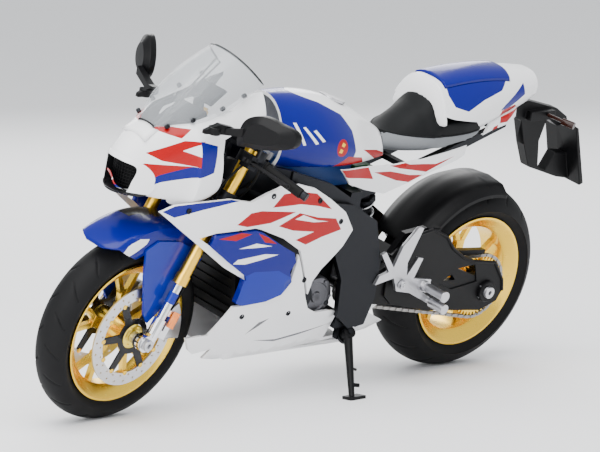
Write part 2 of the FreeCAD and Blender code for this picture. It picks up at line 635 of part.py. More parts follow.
def seat():
    """The rider's pad: a crowned front against the tail's step and a flat tongue running back under it."""
    front = lofted(SEAT_SECTIONS)
    plan = closed([Vec(-45, 12.6, 90), Vec(-52, 14.2, 90), Vec(-66, 14.4, 90), Vec(-73, 13.4, 90),
            Vec(-76, 11.4, 90),
                   Vec(-76, -11.4, 90), Vec(-73, -13.4, 90), Vec(-66, -14.4, 90), Vec(-52, -14.2, 90),
                   Vec(-45, -12.6, 90)])
    tongue = side_plate(SEAT_REAR, -15, 15).common(Part.Face(plan).extrude(Vec(0, 0, 40)))
    return fused(front, tongue)


TAIL_SECTIONS = [
    (-50, [(0, 104), (13.0, 107), (16.2, 113), (13.5, 122.5), (7.0, 129.4), (0, 130.2)]),
    (-62, [(0, 106), (13.0, 108.5), (15.8, 115), (13.0, 124.5), (7.0, 130.8), (0, 132.0)]),
    (-78, [(0, 110), (11.6, 112), (14.2, 118), (12.0, 126.5), (6.6, 131.8), (0, 133.0)]),
    (-94, [(0, 114.5), (9.4, 116), (11.6, 121), (10.0, 127.4), (5.8, 131.4), (0, 132.4)]),
    (-108, [(0, 119.0), (6.6, 120), (8.6, 123.6), (7.6, 128), (4.6, 130.4), (0, 131.0)]),
]


SIDE_COVER = [
    (6, 101.4), (-10, 100.9), (-26, 100.2), (-42, 101.0), (-56, 103.2), (-68, 105.4), (-77.5,
            108.6), (-79.5, 113),
    (-94, 118.4), (-95, 114.6), (-78, 106.0), (-62, 99), (-38, 92), (-22, 88.4), (-10, 91.4), (0, 95),
]


def cover_half_width(x, z):
    """The side cover under the seat: widest at the tank, drawn in to meet the tail's lower edge."""
    behind = max(0.0, -x)
    return 18.2 - 3.0 * min(1.0, behind / 40) - 4.0 * (max(0.0, behind - 58) / 36) ** 1.3


def tail_cowl():
    body = shell(TAIL_SECTIONS, 1.1)
    side_cover = panel(cover_half_width, SIDE_COVER, 1.2)
    body = fused(body, side_cover, mirrored(side_cover))
    hump_bed = block(-90, -52, -9.4, 9.4, 124.8, 140)
    seat_room = side_plate([(-40, 95), (-40, 113.4), (-62, 113.6), (-71.4, 112.8), (-76, 110.2), (-76,
            95)], -14.7, 14.7)
    rail_room = side_plate([(-76, 95), (-76, 108), (-93, 112.6), (-93, 95)], -14.7, 14.7)
    return body.cut(hump_bed).cut(seat_room).cut(rail_room)


HUMP_RISE = 0.9


def seat_hump():
    """The single-seat cover that drops into the tail, rounded on top."""
    outer = lofted([(x, [(y, z + HUMP_RISE) for y, z in half]) for x, half in TAIL_SECTIONS[:4]])
    bed = block(-89.6, -52.4, -9.0, 9.0, 125.0, 140)
    return outer.common(bed)


def tail_lights():
    lamp = block(-109.6, -106, -5.2, 5.2, 121.5, 124.5)
    stalk = rod(Vec(-122, 5.7, 111), Vec(-124, 12.5, 110.4), 0.8)
    lens = rod(Vec(-124, 12.3, 110.4), Vec(-126, 17.4, 110), 1.5)
    return Part.makeCompound([lamp, fused(stalk, lens), mirrored(fused(stalk, lens))])


PLATE_SIDE = [(-96, 113.4), (-104, 116.4), (-113, 116.4), (-131, 112), (-138, 108), (-140, 104), (-133,
        104), (-126, 108),
              (-124, 98), (-127, 86), (-132, 84), (-136, 92), (-144, 91), (-149, 79), (-140,
                      80.5), (-121, 86.5),
              (-115, 97), (-110, 108), (-98, 111.6)]


def plate_bracket():
    spine = side_plate(PLATE_SIDE, -2.4, 2.4)
    plate = side_plate([(-137, 106), (-139, 105), (-150, 79.4), (-148, 78.6)], -9.5, 9.5)
    light_box = block(-127, -112, -5.4, 5.4, 108.6, 112.4)
    return fused(spine, plate, light_box)


def nose_cowl():
    sections = [
        (106.5, [(0, 98.6), (12.2, 99.2), (13.4, 102.5), (10.5, 107.6), (4, 109.4), (0, 109.8)]),
        (98, [(0, 95.6), (15.6, 96.2), (17.0, 103), (12.8, 114.4), (6, 118.0), (0, 118.6)]),
        (88, [(0, 95.8), (18.6, 96.4), (19.7, 105), (15.0, 119.2), (8, 123.4), (0, 124.2)]),
        (77, [(0, 97.6), (20.4, 98.2), (21.2, 107), (16.6, 121.6), (9, 126.8), (0, 128.0)]),
        (66, [(0, 103.6), (20.0, 104.6), (20.8, 111), (16.6, 123.4), (9.4, 130.4), (0, 132.0)]),
        (50, [(0, 117.6), (14.8, 118.4), (16.4, 122), (14.4, 130.0), (9.6, 135.6), (0, 137.2)]),
    ]
    body = shell(sections, 1.2)
    top = Part.makeLoft(
        [closed([Vec(98.5, s * w, z) for s, z in ((-1, 116), (-1, 145), (1, 145), (1,
                116))]) for w in (4.0,)]
        + [closed([Vec(50 - 4, s * 12.0, z) for s, z in ((-1, 124), (-1, 160), (1, 160), (1, 124))])],
        True,
        True,
    )
    floor = block(60, 100, -13.5, 13.5, 90, 100.5)
    cockpit = block(45, 72, -13.2, 13.2, 95, 128)
    behind = side_plate([(40, 90), (71, 90), (71, 102), (72.4, 114), (71.4, 119), (64, 121.6), (48,
            124.6), (40, 126)], -30, 30)
    return body.cut(top).cut(floor).cut(cockpit).cut(behind)


SCREEN_ROWS = [(97.5, 98.5, 4.2, 120.2, 119.4), (90, 90, 8.2, 128.0, 124.6), (81.5, 78.5, 10.2, 136.4,
        129.0),
               (72.5, 64.5, 11.4, 143.4, 133.6), (63.5, 51, 11.8, 148.2, 138.6)]


def windscreen():
    """A double-curved bubble, low at the nose and swept back at its sides."""
    grid = []
    for centre_x, side_x, width, centre_z, side_z in SCREEN_ROWS:
        steps = [k / 5 for k in range(-5, 6)]
        grid.append([Vec(centre_x + (side_x - centre_x) * c * c, width * math.sin(c * math.pi / 2),
                         centre_z - (centre_z - side_z) * c * c) for c in steps])
    surface = Part.BSplineSurface()
    surface.interpolate(grid)
    return surface.toShape().extrude(Vec(0, 0, 0.9))


def dash():
    pod = side_plate([(86, 110), (88.6, 116), (80, 122.6), (72.4, 126), (69, 119), (73, 110)], -7, 7)
    screen = side_plate([(70, 127.5), (71.5, 128.4), (64.6, 134), (63.0, 133)], -6.5, 6.5)
    stalk = block(69.4, 71.6, -2, 2, 121, 130)
    return fused(pod, screen, stalk)


def intake_duct():
    """The black central air intake and the chin under the nose."""
    mouth = Part.makeLoft(
        [
            closed([Vec(112, -8.0, 98.6), Vec(112, 8.0, 98.6), Vec(109.5, 10.0, 106), Vec(109.5, -10.0,
                    106)]),
            closed([Vec(106.7, -12.0, 98.8), Vec(106.7, 12.0, 98.8), Vec(106.7, 9.6, 107.6), Vec(106.7,
                    -9.6, 107.6)]),
        ],
        True,
        True,
    )
    chin = Part.makeLoft(
        [
            closed([Vec(111.4, -8.4, 96.6), Vec(111.4, 8.4, 96.6), Vec(111.9, 8.0, 98.4), Vec(111.9,
                    -8.0, 98.4)]),
            closed([Vec(102, -13, 92.6), Vec(102, 13, 92.6), Vec(102, 14, 95.2), Vec(102, -14, 95.2)]),
            closed([Vec(88, -14.5, 91.2), Vec(88, 14.5, 91.2), Vec(88, 15.5, 94.2), Vec(88, -15.5, 94.2)]),
        ],
        True,
        True,
    )
    slot = Part.makeLoft(
        [
            closed([Vec(113, -6.4, 97.8), Vec(113, 6.4, 97.8), Vec(113, 8.0, 103.6), Vec(113, -8.0,
                    103.6)]),
            closed([Vec(105, -8.4, 97.8), Vec(105, 8.4, 97.8), Vec(105, 8.0, 103.6), Vec(105, -8.0,
                    103.6)]),
        ],
        True,
        True,
    )
    bridge = block(106.8, 111, -8.4, 8.4, 95.6, 98.9)
    return fused(mouth, chin, bridge).cut(slot)


FAIRING = [(96, 91.5), (90, 94), (80, 95), (66, 96), (56, 94.5), (49, 97.5), (41, 100), (33, 100), (25,
        98), (16, 93), (7, 87),
           (1, 79), (5, 72.5), (14, 64), (17, 59), (17.5, 53), (28, 73), (38, 79), (50, 83.5), (53,
                   84.2), (71, 83),
           (78, 81.2), (73, 78.2), (64, 71.6), (54, 65), (53, 62.8), (64, 68.6), (75, 76.4), (86, 84.2)]
POD = [(71, 82.4), (53, 83.6), (50, 82.8), (38, 76), (32, 73), (30, 69), (32, 65), (29.6, 60.4), (33,
        55), (40, 52.6), (51, 51.6),
       (54.6, 53), (54, 63), (64, 70), (73, 77.4)]
BELLY = [(54, 50.8), (51, 51), (40, 52), (33, 54), (29, 60), (28.4, 71.4), (18.2, 52), (14, 46), (8,
        43), (1, 43), (-5, 41.6),
         (-13, 40.6), (-27, 41), (-31, 40), (-27, 37), (-42, 29.6), (-33, 27), (-15, 26.4), (11,
                 26), (34, 25.2), (51, 25),
         (60, 26.4), (66, 31), (70, 37), (60, 38)]


def side_fairing():
    return panel(half_width, FAIRING, 1.3)


def side_duct():
    """The winglet duct: a bulging cover over a slot in the fairing."""
    return panel(half_width, POD, 2.4, proud=1.0).cut(side_plate(FAIRING, 0, 50))


def front_tyre_room():
    """The space the front tyre sweeps at either lock, with the fork out and fully in."""
    wheel = disc(FRONT_AXLE, FRONT_RADIUS + 0.8, -FRONT_WIDTH / 2 - 0.8, FRONT_WIDTH / 2 + 0.8)
    rooms = []
    for lock in (-FULL_LOCK, FULL_LOCK):
        for travel in (0.0, FORK_TRAVEL):
            room = turned(wheel, lock)
            room.translate(steering_direction() * travel)
            rooms.append(room)
    return fused(rooms[0], *rooms[1:])


def belly_pan():
    side = panel(half_width, BELLY, 1.3)
    floor = block(-20, 46, -15.4, 15.4, 24.4, 25.4)
    notch = block(-20.5, -5.6, 12.0, 30, 28.0, 42)
    side = side.cut(notch)
    right_cut = block(-45, -3, -30, -8, 25.5, 45)
    return fused(side, mirrored(side).cut(right_cut), floor)


# ---- rider controls ----
PEG_BASE = Vec(-48.4, 25.4, 49.4)
SHIFT_PIVOT = Vec(-35, 24.6, 51.5)
REARSET = [(-21.5, 56), (-20, 52.5), (-30, 54.5), (-33, 48.5), (-44, 46.2), (-52, 46.6), (-52, 51.6),
        (-41.6, 53.2), (-44.6, 61.6),
           (-41.8, 62.2), (-37.2, 54.8), (-36, 60.5), (-41.2, 75), (-38.6, 75.6), (-31.6, 68), (-28.6,
                   59.2), (-22.6, 66.4),
           (-20.4, 65.4), (-26.4, 57.6)]


def rearset_plates():
    plate = side_plate(REARSET, 23.2, 24.6)
    boss = disc(PEG_BASE, 2.3, 24.5, 26.4)
    shift_pin = disc(SHIFT_PIVOT, 0.9, 24.5, 27.0)
    return pair(fused(plate, boss, shift_pin))


def foot_pegs():
    peg = disc(PEG_BASE, 1.9, 26.4, 36.6)
    tip = disc(PEG_BASE, 2.3, 36.5, 37.3)
    return pair(fused(peg, tip))


TOE = Vec(-50.6, 0, 43.4)


def pedal():
    """A pedal lever on its own pin, with a toe peg that stands out to the side."""
    eye = disc(SHIFT_PIVOT, 2.0, 24.8, 26.6)
    arm = side_plate([(-34.6, 49.9), (-36.6, 52.4), (-51.4, 44.6), (-50.0, 42.4)], 25.0, 26.4)
    arm = arm.cut(disc(PEG_BASE, 2.7, 24, 28))
    toe = disc(TOE, 1.2, 25.6, 28.5)
    rubber = disc(TOE, 2.1, 28.4, 36.4)
    return fused(eye, arm, toe, rubber).cut(disc(SHIFT_PIVOT, 0.9 + RUN, 24, 28))


# ---- side stand ----
STAND_DOWN = (STAND_FOOT - STAND_PIVOT).normalize()
STAND_UP = Vec(-0.985, 0.13, 0.10).normalize()
STAND_AXIS = STAND_DOWN.cross(STAND_UP).normalize()


def floor_up():
    """The floor's upward direction seen in the upright bike's frame."""
    a = math.radians(LEAN)
    return Vec(0, -math.sin(a), math.cos(a))


def side_stand():
    start = STAND_PIVOT + STAND_AXIS * 2.3
    eye = rod(STAND_PIVOT + STAND_AXIS * 0.3, STAND_PIVOT + STAND_AXIS * 4.3, 2.5)
    up = floor_up()
    sole_centre = STAND_FOOT
    leg = Part.makeCone(1.9, 1.15, (sole_centre - start).Length, start, sole_centre - start)
    heel = block(-5.2, 2.8, -2.6, 2.6, 0, 1.3)
    heel.Placement = FreeCAD.Placement(sole_centre, FreeCAD.Rotation(ALONG_Z, up))
    spring_tab = start + (sole_centre - start) * 0.52
    tab = rod(spring_tab, spring_tab + Vec(-3.6, 0, -1.4), 0.55)
    toe_tab = start + (sole_centre - start) * 0.78
    nib = rod(toe_tab, toe_tab + Vec(-3.0, 1.6, 0.0), 0.8)
    floor_cut = Part.makeBox(60, 60, 20, Vec(-30, -30, -20))
    floor_cut.Placement = FreeCAD.Placement(sole_centre, FreeCAD.Rotation(ALONG_Z,
            up)).multiply(floor_cut.Placement)
    body = fused(eye, leg, heel, tab, nib).cut(floor_cut)
    return body.cut(rod(STAND_PIVOT - STAND_AXIS * 2, STAND_PIVOT + STAND_AXIS * 6, 1.0 + RUN))


# ---- mirrors ----
MIRROR_PIVOT = Vec(79.5, 18.4, 122.4)
LEFT_HEAD = [(8.6, -2.8), (16, -1.6), (24.4, 1.0), (28.6, 4.4), (28.6, 7.6), (22, 10.2), (14.4, 11.0),
        (9.4, 8.2), (7.4, 2.6)]
RIGHT_HEAD = [(16.4, 1.6), (23, 1.0), (27.6, 4.6), (28.6, 10.2), (25.4, 15.6), (20, 17.4), (15.4, 13.6),
        (13.6, 7.4)]


def mirror(outline, stalk_end):
    """Pivot foot on the cowl, a swept stalk and a teardrop head with its glass towards the rider."""

    def at(x, y, z):
        return MIRROR_PIVOT + Vec(x, y, z)

    def drawn_in(value, middle):
        return middle + (value - middle) * 0.62

    def head_section(x, outline):
        return closed([at(x - 0.42 * (y - 8), y, z) for y, z in outline], smooth=True)

    foot = Part.makeLoft(
        [
            closed([at(4.6, 0.6, 0.5), at(4.6, 2.2, 0.5), at(4.6, 2.0, 2.0), at(4.6, 0.8, 2.0)]),
            closed([at(-2, 0.4, 0.4), at(-2, 4.0, 0.4), at(-2, 3.4, 4.2), at(-2, 0.8, 4.2)]),
            closed([at(-7, 2.4, 0.4), at(-7, 5.6, 0.4), at(-7, 5.2, 3.2), at(-7, 2.6, 3.2)]),
        ],
        True,
        True,
    )
    boss = rod(at(0, 2.2, 0.3), at(0, 2.2, 3.0), 2.4)
    y, z = stalk_end
    stalk = Part.makeLoft(
        [
            closed([at(-3.4, 4.6, 0.4), at(-6.8, 4.6, 0.4), at(-6.8, 4.6, 3.0), at(-3.4, 4.6, 3.0)]),
            closed([at(-7.0, y, z - 1.6), at(-9.6, y, z - 1.6), at(-9.6, y, z + 1.6), at(-7.0, y,
                    z + 1.6)]),
        ],
        True,
        True,
    )
    middle_y = sum(p[0] for p in outline) / len(outline)
    middle_z = sum(p[1] for p in outline) / len(outline)
    small = [(drawn_in(y, middle_y), drawn_in(z, middle_z)) for y, z in outline]
    rear, belly, crown = head_section(-10.6, outline), head_section(-7.8, outline), head_section(-5.4,
            small)
    head = Part.makeLoft([rear, belly, crown], True, True)
    body = fused(foot, boss, stalk, head)
    return body.cut(rod(at(0, 2.2, -1), at(0, 2.2, 2.2), 1.0 + RUN))


def mirror_left():
    return mirror(LEFT_HEAD, (10, 3.0))


def mirror_right():
    return mirrored(mirror(RIGHT_HEAD, (17, 5.0)))


# ---- rear end ----
ARM_LEFT = [(-14, 52.2), (-9.9, 48), (-14, 43.8), (-34, 40.2), (-60, 37.4), (-90, 34.6), (-99, 36.4),
        (-100, 43), (-95, 47), (-82, 48.5),
            (-70, 53), (-62, 62), (-52, 68.5), (-42, 68), (-34, 60), (-24, 55)]
ARM_WINDOW = [(-57, 48), (-72, 47.2), (-63, 56.5)]


def swingarm():
    left = side_plate(ARM_LEFT, 16.6, 19.6).cut(side_plate(ARM_WINDOW, 16, 21))
    right = side_plate(ARM_LEFT, -19.6, -16.6).cut(side_plate(ARM_WINDOW, -21, -16))
    cross = side_plate([(-27, 38.6), (-27, 55), (-42, 61), (-42, 56), (-33, 52), (-31.5, 42.4), (-44.6,
            42.4), (-44.6, 38.6)], -16.7, 13.4)
    bridge = block(-42, -36, 13.0, 16.7, 55.4, 60.0)
    spring_room = rod(SHOCK_EYE, SHOCK_TOP, 5.6)
    cross = cross.cut(spring_room)
    ears = [side_plate([(-42, 42.3), (-33.6, 42.3), (-36, 49), (-40, 49)], *y) for y in ((2.6, 4.4),
            (-4.4, -2.6))]
    cross = fused(cross, *ears)
    eye_pin = disc(SHOCK_EYE, 1.1, -3.2, 3.2)
    tube = disc(PIVOT, 3.6, -16.7, -3.5)
    arm_to_tube = side_plate([(-14, 50.5), (-14, 45.5), (-30, 44), (-30, 52)], -16.7, -12.5)
    body = fused(left, right, cross, bridge, eye_pin, tube, arm_to_tube)
    body = body.cut(disc(PIVOT, 1.9 + RUN, -25, 25))
    slots = [side_plate([(-93.6, 39.2), (-88.4, 39.2), (-88.4, 42.3), (-93.6, 42.3)], s * 18 - 3,
            s * 18 + 3) for s in (-1, 1)]
    for slot in slots:
        body = body.cut(slot)
    return body


def rear_hugger():
    """Mudguard close over the tyre's front, with the chain guard along its left."""
    profile = [(-13.6, 33.5), (-14.6, 33.5), (-14.6, 40), (-9, 43.2), (0, 44.2), (9, 43.2), (13.6, 40),
            (13.6, 38.5), (8.6, 42.2), (0, 43.2),
               (-8.6, 42.2), (-13.6, 39.6)]
    arch = lathe(REAR_AXLE, profile)
    sector = [(REAR_AXLE.x, REAR_AXLE.z)] + [
        (REAR_AXLE.x + 70 * math.cos(math.radians(a)),
                REAR_AXLE.z + 70 * math.sin(math.radians(a))) for a in (26, 50, 78, 102)
    ]
    arch = arch.common(side_plate(sector, -20, 20))
    guard = side_plate([(-34, 61.2), (-40, 69.6), (-52, 71.0), (-62, 66), (-72, 59), (-90, 57.6), (-90,
            56.0), (-72, 56.4),
                        (-62, 63.4), (-53, 69.3), (-42, 68.8)], 13.7, 16.5)
    stay = block(-63, -57, 12.2, 14.2, 64.5, 68.5)
    return fused(arch, guard, stay)


def rear_axle():
    shaft = disc(REAR_AXLE, AXLE_RADIUS, -21.0, 21.0)
    plates = [block(-95, -87, s * 20.4 - 0.7, s * 20.4 + 0.7, 38, 43.5) for s in (-1, 1)]
    nut = disc(REAR_AXLE, 2.5, 21.0, 23.4)
    head = disc(REAR_AXLE, 2.3, -22.6, -21.0)
    spacers = [disc(REAR_AXLE, 2.4, 11.4, 12.9).fuse(disc(REAR_AXLE, 2.4, 16.1, 16.5)), disc(REAR_AXLE,
            2.4, -16.5, -15.2)]
    hollow = disc(REAR_AXLE, AXLE_BORE, -25, 25)
    return fused(shaft, nut, head, *plates).cut(hollow)


def rear_caliper():
    body = side_plate([(-79, 46), (-70, 46), (-69, 51), (-79, 52)], -16.4, -12.9)
    slot = ring(REAR_AXLE, 15.0, 5, -15.2, -14.0)
    bracket = side_plate([(-89, 38), (-93, 44), (-80, 52), (-74, 50), (-74, 46), (-86, 43)], -16.4, -15.5)
    body = fused(body.cut(slot), bracket)
    return body.cut(disc(REAR_AXLE, AXLE_RADIUS + 0.02, -20, -10))


def rear_sprocket():
    plate = sprocket(REAR_AXLE, REAR_PITCH_RADIUS, 40, CHAIN_Y - 0.45, CHAIN_Y + 0.45, AXLE_RADIUS + RUN, 5)
    carrier = ring(REAR_AXLE, 6.5, AXLE_RADIUS + RUN, REAR_HUB_HALF, CHAIN_Y - 0.45)
    return fused(plate, carrier)


def front_sprocket():
    return sprocket(PIVOT, FRONT_PITCH_RADIUS, 16, CHAIN_Y - 0.45, CHAIN_Y + 0.45, 2.0)


def drive_chain():
    """Both runs and both wraps of the chain as one plain loop, clear of the teeth."""
    y0, y1 = CHAIN_Y - CHAIN_HALF, CHAIN_Y + CHAIN_HALF
    axis = REAR_AXLE - PIVOT
    length = math.hypot(axis.x, axis.z)
    towards = math.degrees(math.atan2(axis.z, axis.x))
    swing = math.degrees(math.acos((REAR_PITCH_RADIUS - FRONT_PITCH_RADIUS) / length))
    half, gap = 0.8, 0.95

    def band(offset):
        rear, front = REAR_PITCH_RADIUS + offset, FRONT_PITCH_RADIUS + offset
        up = [polar(PIVOT, front, towards + 180 - swing), polar(REAR_AXLE, rear, towards + 180 - swing)]
        down = [polar(REAR_AXLE, rear, towards + 180 + swing), polar(PIVOT, front, towards + 180 + swing)]
        core = side_plate([(p.x, p.z) for p in up + down], y0, y1)
        return core.fuse([disc(PIVOT, front, y0, y1), disc(REAR_AXLE, rear, y0, y1)])

    return band(gap + half).cut(band(gap))


def rear_disc():
    return brake_disc(REAR_AXLE, 14.0, 10.6, -15.0, 0.6, 4.0, 5)


# ---- shock absorber, along its own line ----
def shock_line():
    return (SHOCK_EYE - SHOCK_TOP).normalize()


def shock_body():
    line = shock_line()
    eye = disc(SHOCK_TOP, 2.5, -3.3, 3.3).cut(disc(SHOCK_TOP, 1.2 + RUN, -4, 4))
    can = rod(SHOCK_TOP + line * 2.0, SHOCK_TOP + line * 21, 2.8)
    collar = rod(SHOCK_TOP + line * 6.0, SHOCK_TOP + line * 7.4, 5.0)
    neck = rod(SHOCK_TOP + line * 4.6, SHOCK_TOP + line * 4.6 + Vec(-5.6, 0, 0), 1.2)
    body = fused(eye, can, collar, neck)
    body = body.cut(rod(SHOCK_TOP + line * 9, SHOCK_TOP + line * 22, 1.2 + RUN))
    return body.cut(disc(SHOCK_TOP, 1.2 + RUN, -4, 4))


def shock_rod():
    line = shock_line()
    shaft = rod(SHOCK_TOP + line * 14.6, SHOCK_EYE - line * 2.0, 1.2)
    seat_disc = rod(SHOCK_EYE - line * 4.4, SHOCK_EYE - line * 3.0, 4.6)
    eye = disc(SHOCK_EYE, 2.2, -2.2, 2.2).cut(disc(SHOCK_EYE, 1.1 + 0.3, -4, 4))
    return fused(shaft, seat_disc, eye).cut(disc(SHOCK_EYE, 1.1 + 0.3, -4, 4))


def shock_spring():
    """The coil between the two seats, wound by a helix along the shock's line."""
    line = shock_line()
    start = SHOCK_TOP + line * 8.0
    length = (SHOCK_EYE - SHOCK_TOP).Length - 4.4 - 8.0 - 0.7
    helix = Part.makeHelix(length / 6.0, length, 3.75)
    wire_section = Part.Wire([Part.Circle(Vec(3.75, 0, 0), ALONG_Y, 0.55).toShape()])
    coil = Part.Wire(helix).makePipeShell([wire_section], True, True)
    coil.Placement = FreeCAD.Placement(start, FreeCAD.Rotation(ALONG_Z, line))
    return coil


# ---- drive and electronics ----
MOTOR_AXIS = Vec(-13.5, 0, 66)


def drive_motor():
    """A gear motor across the bike, coaxial with the swingarm pivot, behind the engine casting."""
    can = disc(MOTOR_AXIS, 6.6, -11.5, 8.0)
    cap = disc(MOTOR_AXIS, 3.4, -12.8, -11.5)
    gearbox = side_plate([(-6.5, 74), (-20, 74), (-20, 52.5), (-8, 52.5)], 8.0, 12.6)
    return fused(can, cap, gearbox)


def battery():
    body = block(-8, 24, -9.5, 9.5, 91, 101)
    return fused(body, block(-10, -8, -3, 3, 94, 98))


def receiver_board():
    return fused(block(-28, -11, -6.6, 6.6, 90.9, 94.4), block(-22, -15, -5, 5, 94.4, 96.4))


def steer(shape):
    """From the steering frame to the upright bike, at its lock at rest."""
    return steered(from_steering(shape))


def build():
    screen, duct, frame = windscreen(), intake_duct(), main_frame()
    nose = nose_cowl().cut(screen).cut(duct)
    cap = fuel_cap()
    tank = fuel_tank().cut(cap)
    cover = tail_cowl()
    front_rim = steered(rim(FRONT_AXLE, FRONT_BEAD, 5.0, FRONT_HUB_HALF))
    rear_rim = rim(REAR_AXLE, REAR_BEAD, 6.0, REAR_HUB_HALF)
    made = {
        "main_frame": frame,
        "subframe": subframe(),
        "engine_block": engine_block(),
        "engine_covers": engine_covers(),
        "radiator": radiator(),
        "exhaust": exhaust(),
        "fuel_tank": tank,
        "fuel_cap": cap,
        "seat": seat(),
        "tail_cowl": cover,
        "seat_hump": seat_hump(),
        "tail_lights": tail_lights(),
        "plate_bracket": plate_bracket(),
        "nose_cowl": nose,
        "windscreen": screen,
        "dash": dash(),
        "intake_duct": duct,
        "side_fairing_left": side_fairing(),
        "side_fairing_right": mirrored(side_fairing()),
        "side_ducts": pair(side_duct()),
        "belly_pan": belly_pan().cut(frame).cut(front_tyre_room()),
        "rearset_plates": rearset_plates(),
        "foot_pegs": foot_pegs(),
        "shift_lever": pedal(),
        "brake_pedal": mirrored(pedal()),
        "side_stand": side_stand(),
        "mirror_left": mirror_left(),
        "mirror_right": mirror_right(),
        "battery": battery(),
        "receiver_board": receiver_board(),
        "drive_motor": drive_motor(),
        "front_sprocket": front_sprocket(),
        "steering_servo": from_steering(steering_servo()),
        "servo_horn": from_steering(servo_horn()),
        "steering_link": from_steering(steering_link()),
        "triple_clamps": steer(triple_clamps()),
        "fork_tubes": steer(fork_tubes()),
        "handlebars": steer(pair(handlebar_left())),
        "grips": steer(pair(grip_left().cut(handlebar_left()))),
        "clutch_lever": steer(lever_left()),
        "brake_lever": steer(mirrored(lever_left())),
        "fork_legs": steer(fork_legs()),
        "front_axle": steer(front_axle()),
        "front_calipers": steer(pair(front_caliper())),
        "front_fender": steer(front_fender()),
        "front_rim": front_rim,
        "front_tyre": steered(tyre(FRONT_AXLE, FRONT_RADIUS, FRONT_WIDTH, FRONT_BEAD)).cut(front_rim),
        "front_discs": steered(pair(brake_disc(FRONT_AXLE, 20.4, 15.4, 9.0, 0.6, 5.1))),
        "swingarm": swingarm(),
        "rear_hugger": rear_hugger(),
        "rear_axle": rear_axle(),
        "rear_caliper": rear_caliper(),
        "rear_rim": rear_rim,
        "rear_tyre": tyre(REAR_AXLE, REAR_RADIUS, REAR_WIDTH, REAR_BEAD).cut(rear_rim),
        "rear_sprocket": rear_sprocket(),
        "rear_disc": rear_disc(),
        "drive_chain": drive_chain(),
        "shock_body": shock_body(),
        "shock_rod": shock_rod(),
        "shock_spring": shock_spring(),
    }
    return made


def main():
    os.makedirs("parts", exist_ok=True)
    for name, shape in build().items():
        on_stand(shape).exportStep(f"parts/{name}.step")


main()
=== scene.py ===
"""Looks for the radio-controlled sport motorcycle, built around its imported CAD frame.

Shapes are modelled upright in the bike's own frame, in millimetres: +X forward, +Y to the rider's left,
+Z up, origin on the ground midway between the axles.  The matrices in PLACE lean them onto the side stand,
in the row's metres: "steered" turns with the bars, and "fork" has its +Z along the steering axis.
"""

import math

import bmesh
import bpy
from mathutils import Matrix, Vector
from mathutils.bvhtree import BVHTree
from mathutils.geometry import delaunay_2d_cdt


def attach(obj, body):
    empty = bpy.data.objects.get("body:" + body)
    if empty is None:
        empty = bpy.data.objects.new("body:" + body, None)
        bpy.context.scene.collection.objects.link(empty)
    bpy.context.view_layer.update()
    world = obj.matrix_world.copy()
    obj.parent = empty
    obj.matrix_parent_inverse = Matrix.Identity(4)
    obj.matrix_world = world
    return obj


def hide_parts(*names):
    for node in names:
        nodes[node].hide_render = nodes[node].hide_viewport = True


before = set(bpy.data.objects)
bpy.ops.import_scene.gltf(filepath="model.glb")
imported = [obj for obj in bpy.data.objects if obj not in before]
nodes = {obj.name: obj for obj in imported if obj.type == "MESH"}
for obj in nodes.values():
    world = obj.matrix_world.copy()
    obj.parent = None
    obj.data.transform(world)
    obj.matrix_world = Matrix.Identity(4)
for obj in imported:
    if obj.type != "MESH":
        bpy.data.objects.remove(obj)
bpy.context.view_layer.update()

# ---- the frame's own numbers, the same as the CAD's ----
LEAN = 16.5
STAND_SHIFT = Vector((10.65, -29.56, 0.48))
RAKE = 24.0
STEER_AT_REST = 5.0
STEER_FOOT = Vector((103.75, 0, 0))
FRONT_AXLE, REAR_AXLE = Vector((91, 0, 37.5)), Vector((-91, 0, 40.75))
PIVOT = Vector((-14, 0, 48))
MM = 0.001

lean = Matrix.Rotation(math.radians(-LEAN), 4, "X")
rake = Matrix.Rotation(math.radians(-RAKE), 4, "Y")
steering_up = rake @ Vector((0, 0, 1))
lock = (
    Matrix.Translation(STEER_FOOT)
    @ Matrix.Rotation(math.radians(STEER_AT_REST), 4, steering_up)
    @ Matrix.Translation(-STEER_FOOT)
)
on_stand = Matrix.Translation(STAND_SHIFT * MM) @ lean @ Matrix.Scale(MM, 4)
PLACE = {"bike": on_stand, "steered": on_stand @ lock}
PLACE["fork"] = on_stand @ lock @ Matrix.Translation(STEER_FOOT) @ rake


# ---- materials ----
def rgb(red, green, blue):
    return (red, green, blue, 1.0)


def shader_of(material):
    return material.node_tree.nodes["Principled BSDF"]


def principled(name, colour, roughness, metallic=0.0, **extra):
    material = bpy.data.materials.new(name)
    material.use_nodes = True
    shader = shader_of(material)
    shader.inputs["Base Color"].default_value = colour
    shader.inputs["Roughness"].default_value = roughness
    shader.inputs["Metallic"].default_value = metallic
    for socket, value in extra.items():
        shader.inputs[socket.replace("_", " ")].default_value = value
    return material


def noise(material, scale, detail=3.0):
    tree = material.node_tree
    coordinates = tree.nodes.new("ShaderNodeTexCoord")
    texture = tree.nodes.new("ShaderNodeTexNoise")
    texture.inputs["Scale"].default_value = scale
    texture.inputs["Detail"].default_value = detail
    tree.links.new(coordinates.outputs["Object"], texture.inputs["Vector"])
    return texture.outputs["Fac"]


def roughen(material, source, low, high):
    """Varies the roughness a little between two values."""
    tree = material.node_tree
    ramp = tree.nodes.new("ShaderNodeMapRange")
    ramp.inputs["To Min"].default_value = low
    ramp.inputs["To Max"].default_value = high
    tree.links.new(source, ramp.inputs["Value"])
    tree.links.new(ramp.outputs["Result"], shader_of(material).inputs["Roughness"])


def bump(material, source, depth, strength):
    tree = material.node_tree
    relief = tree.nodes.new("ShaderNodeBump")
    relief.inputs["Distance"].default_value = depth
    relief.inputs["Strength"].default_value = strength
    tree.links.new(source, relief.inputs["Height"])
    tree.links.new(relief.outputs["Normal"], shader_of(material).inputs["Normal"])


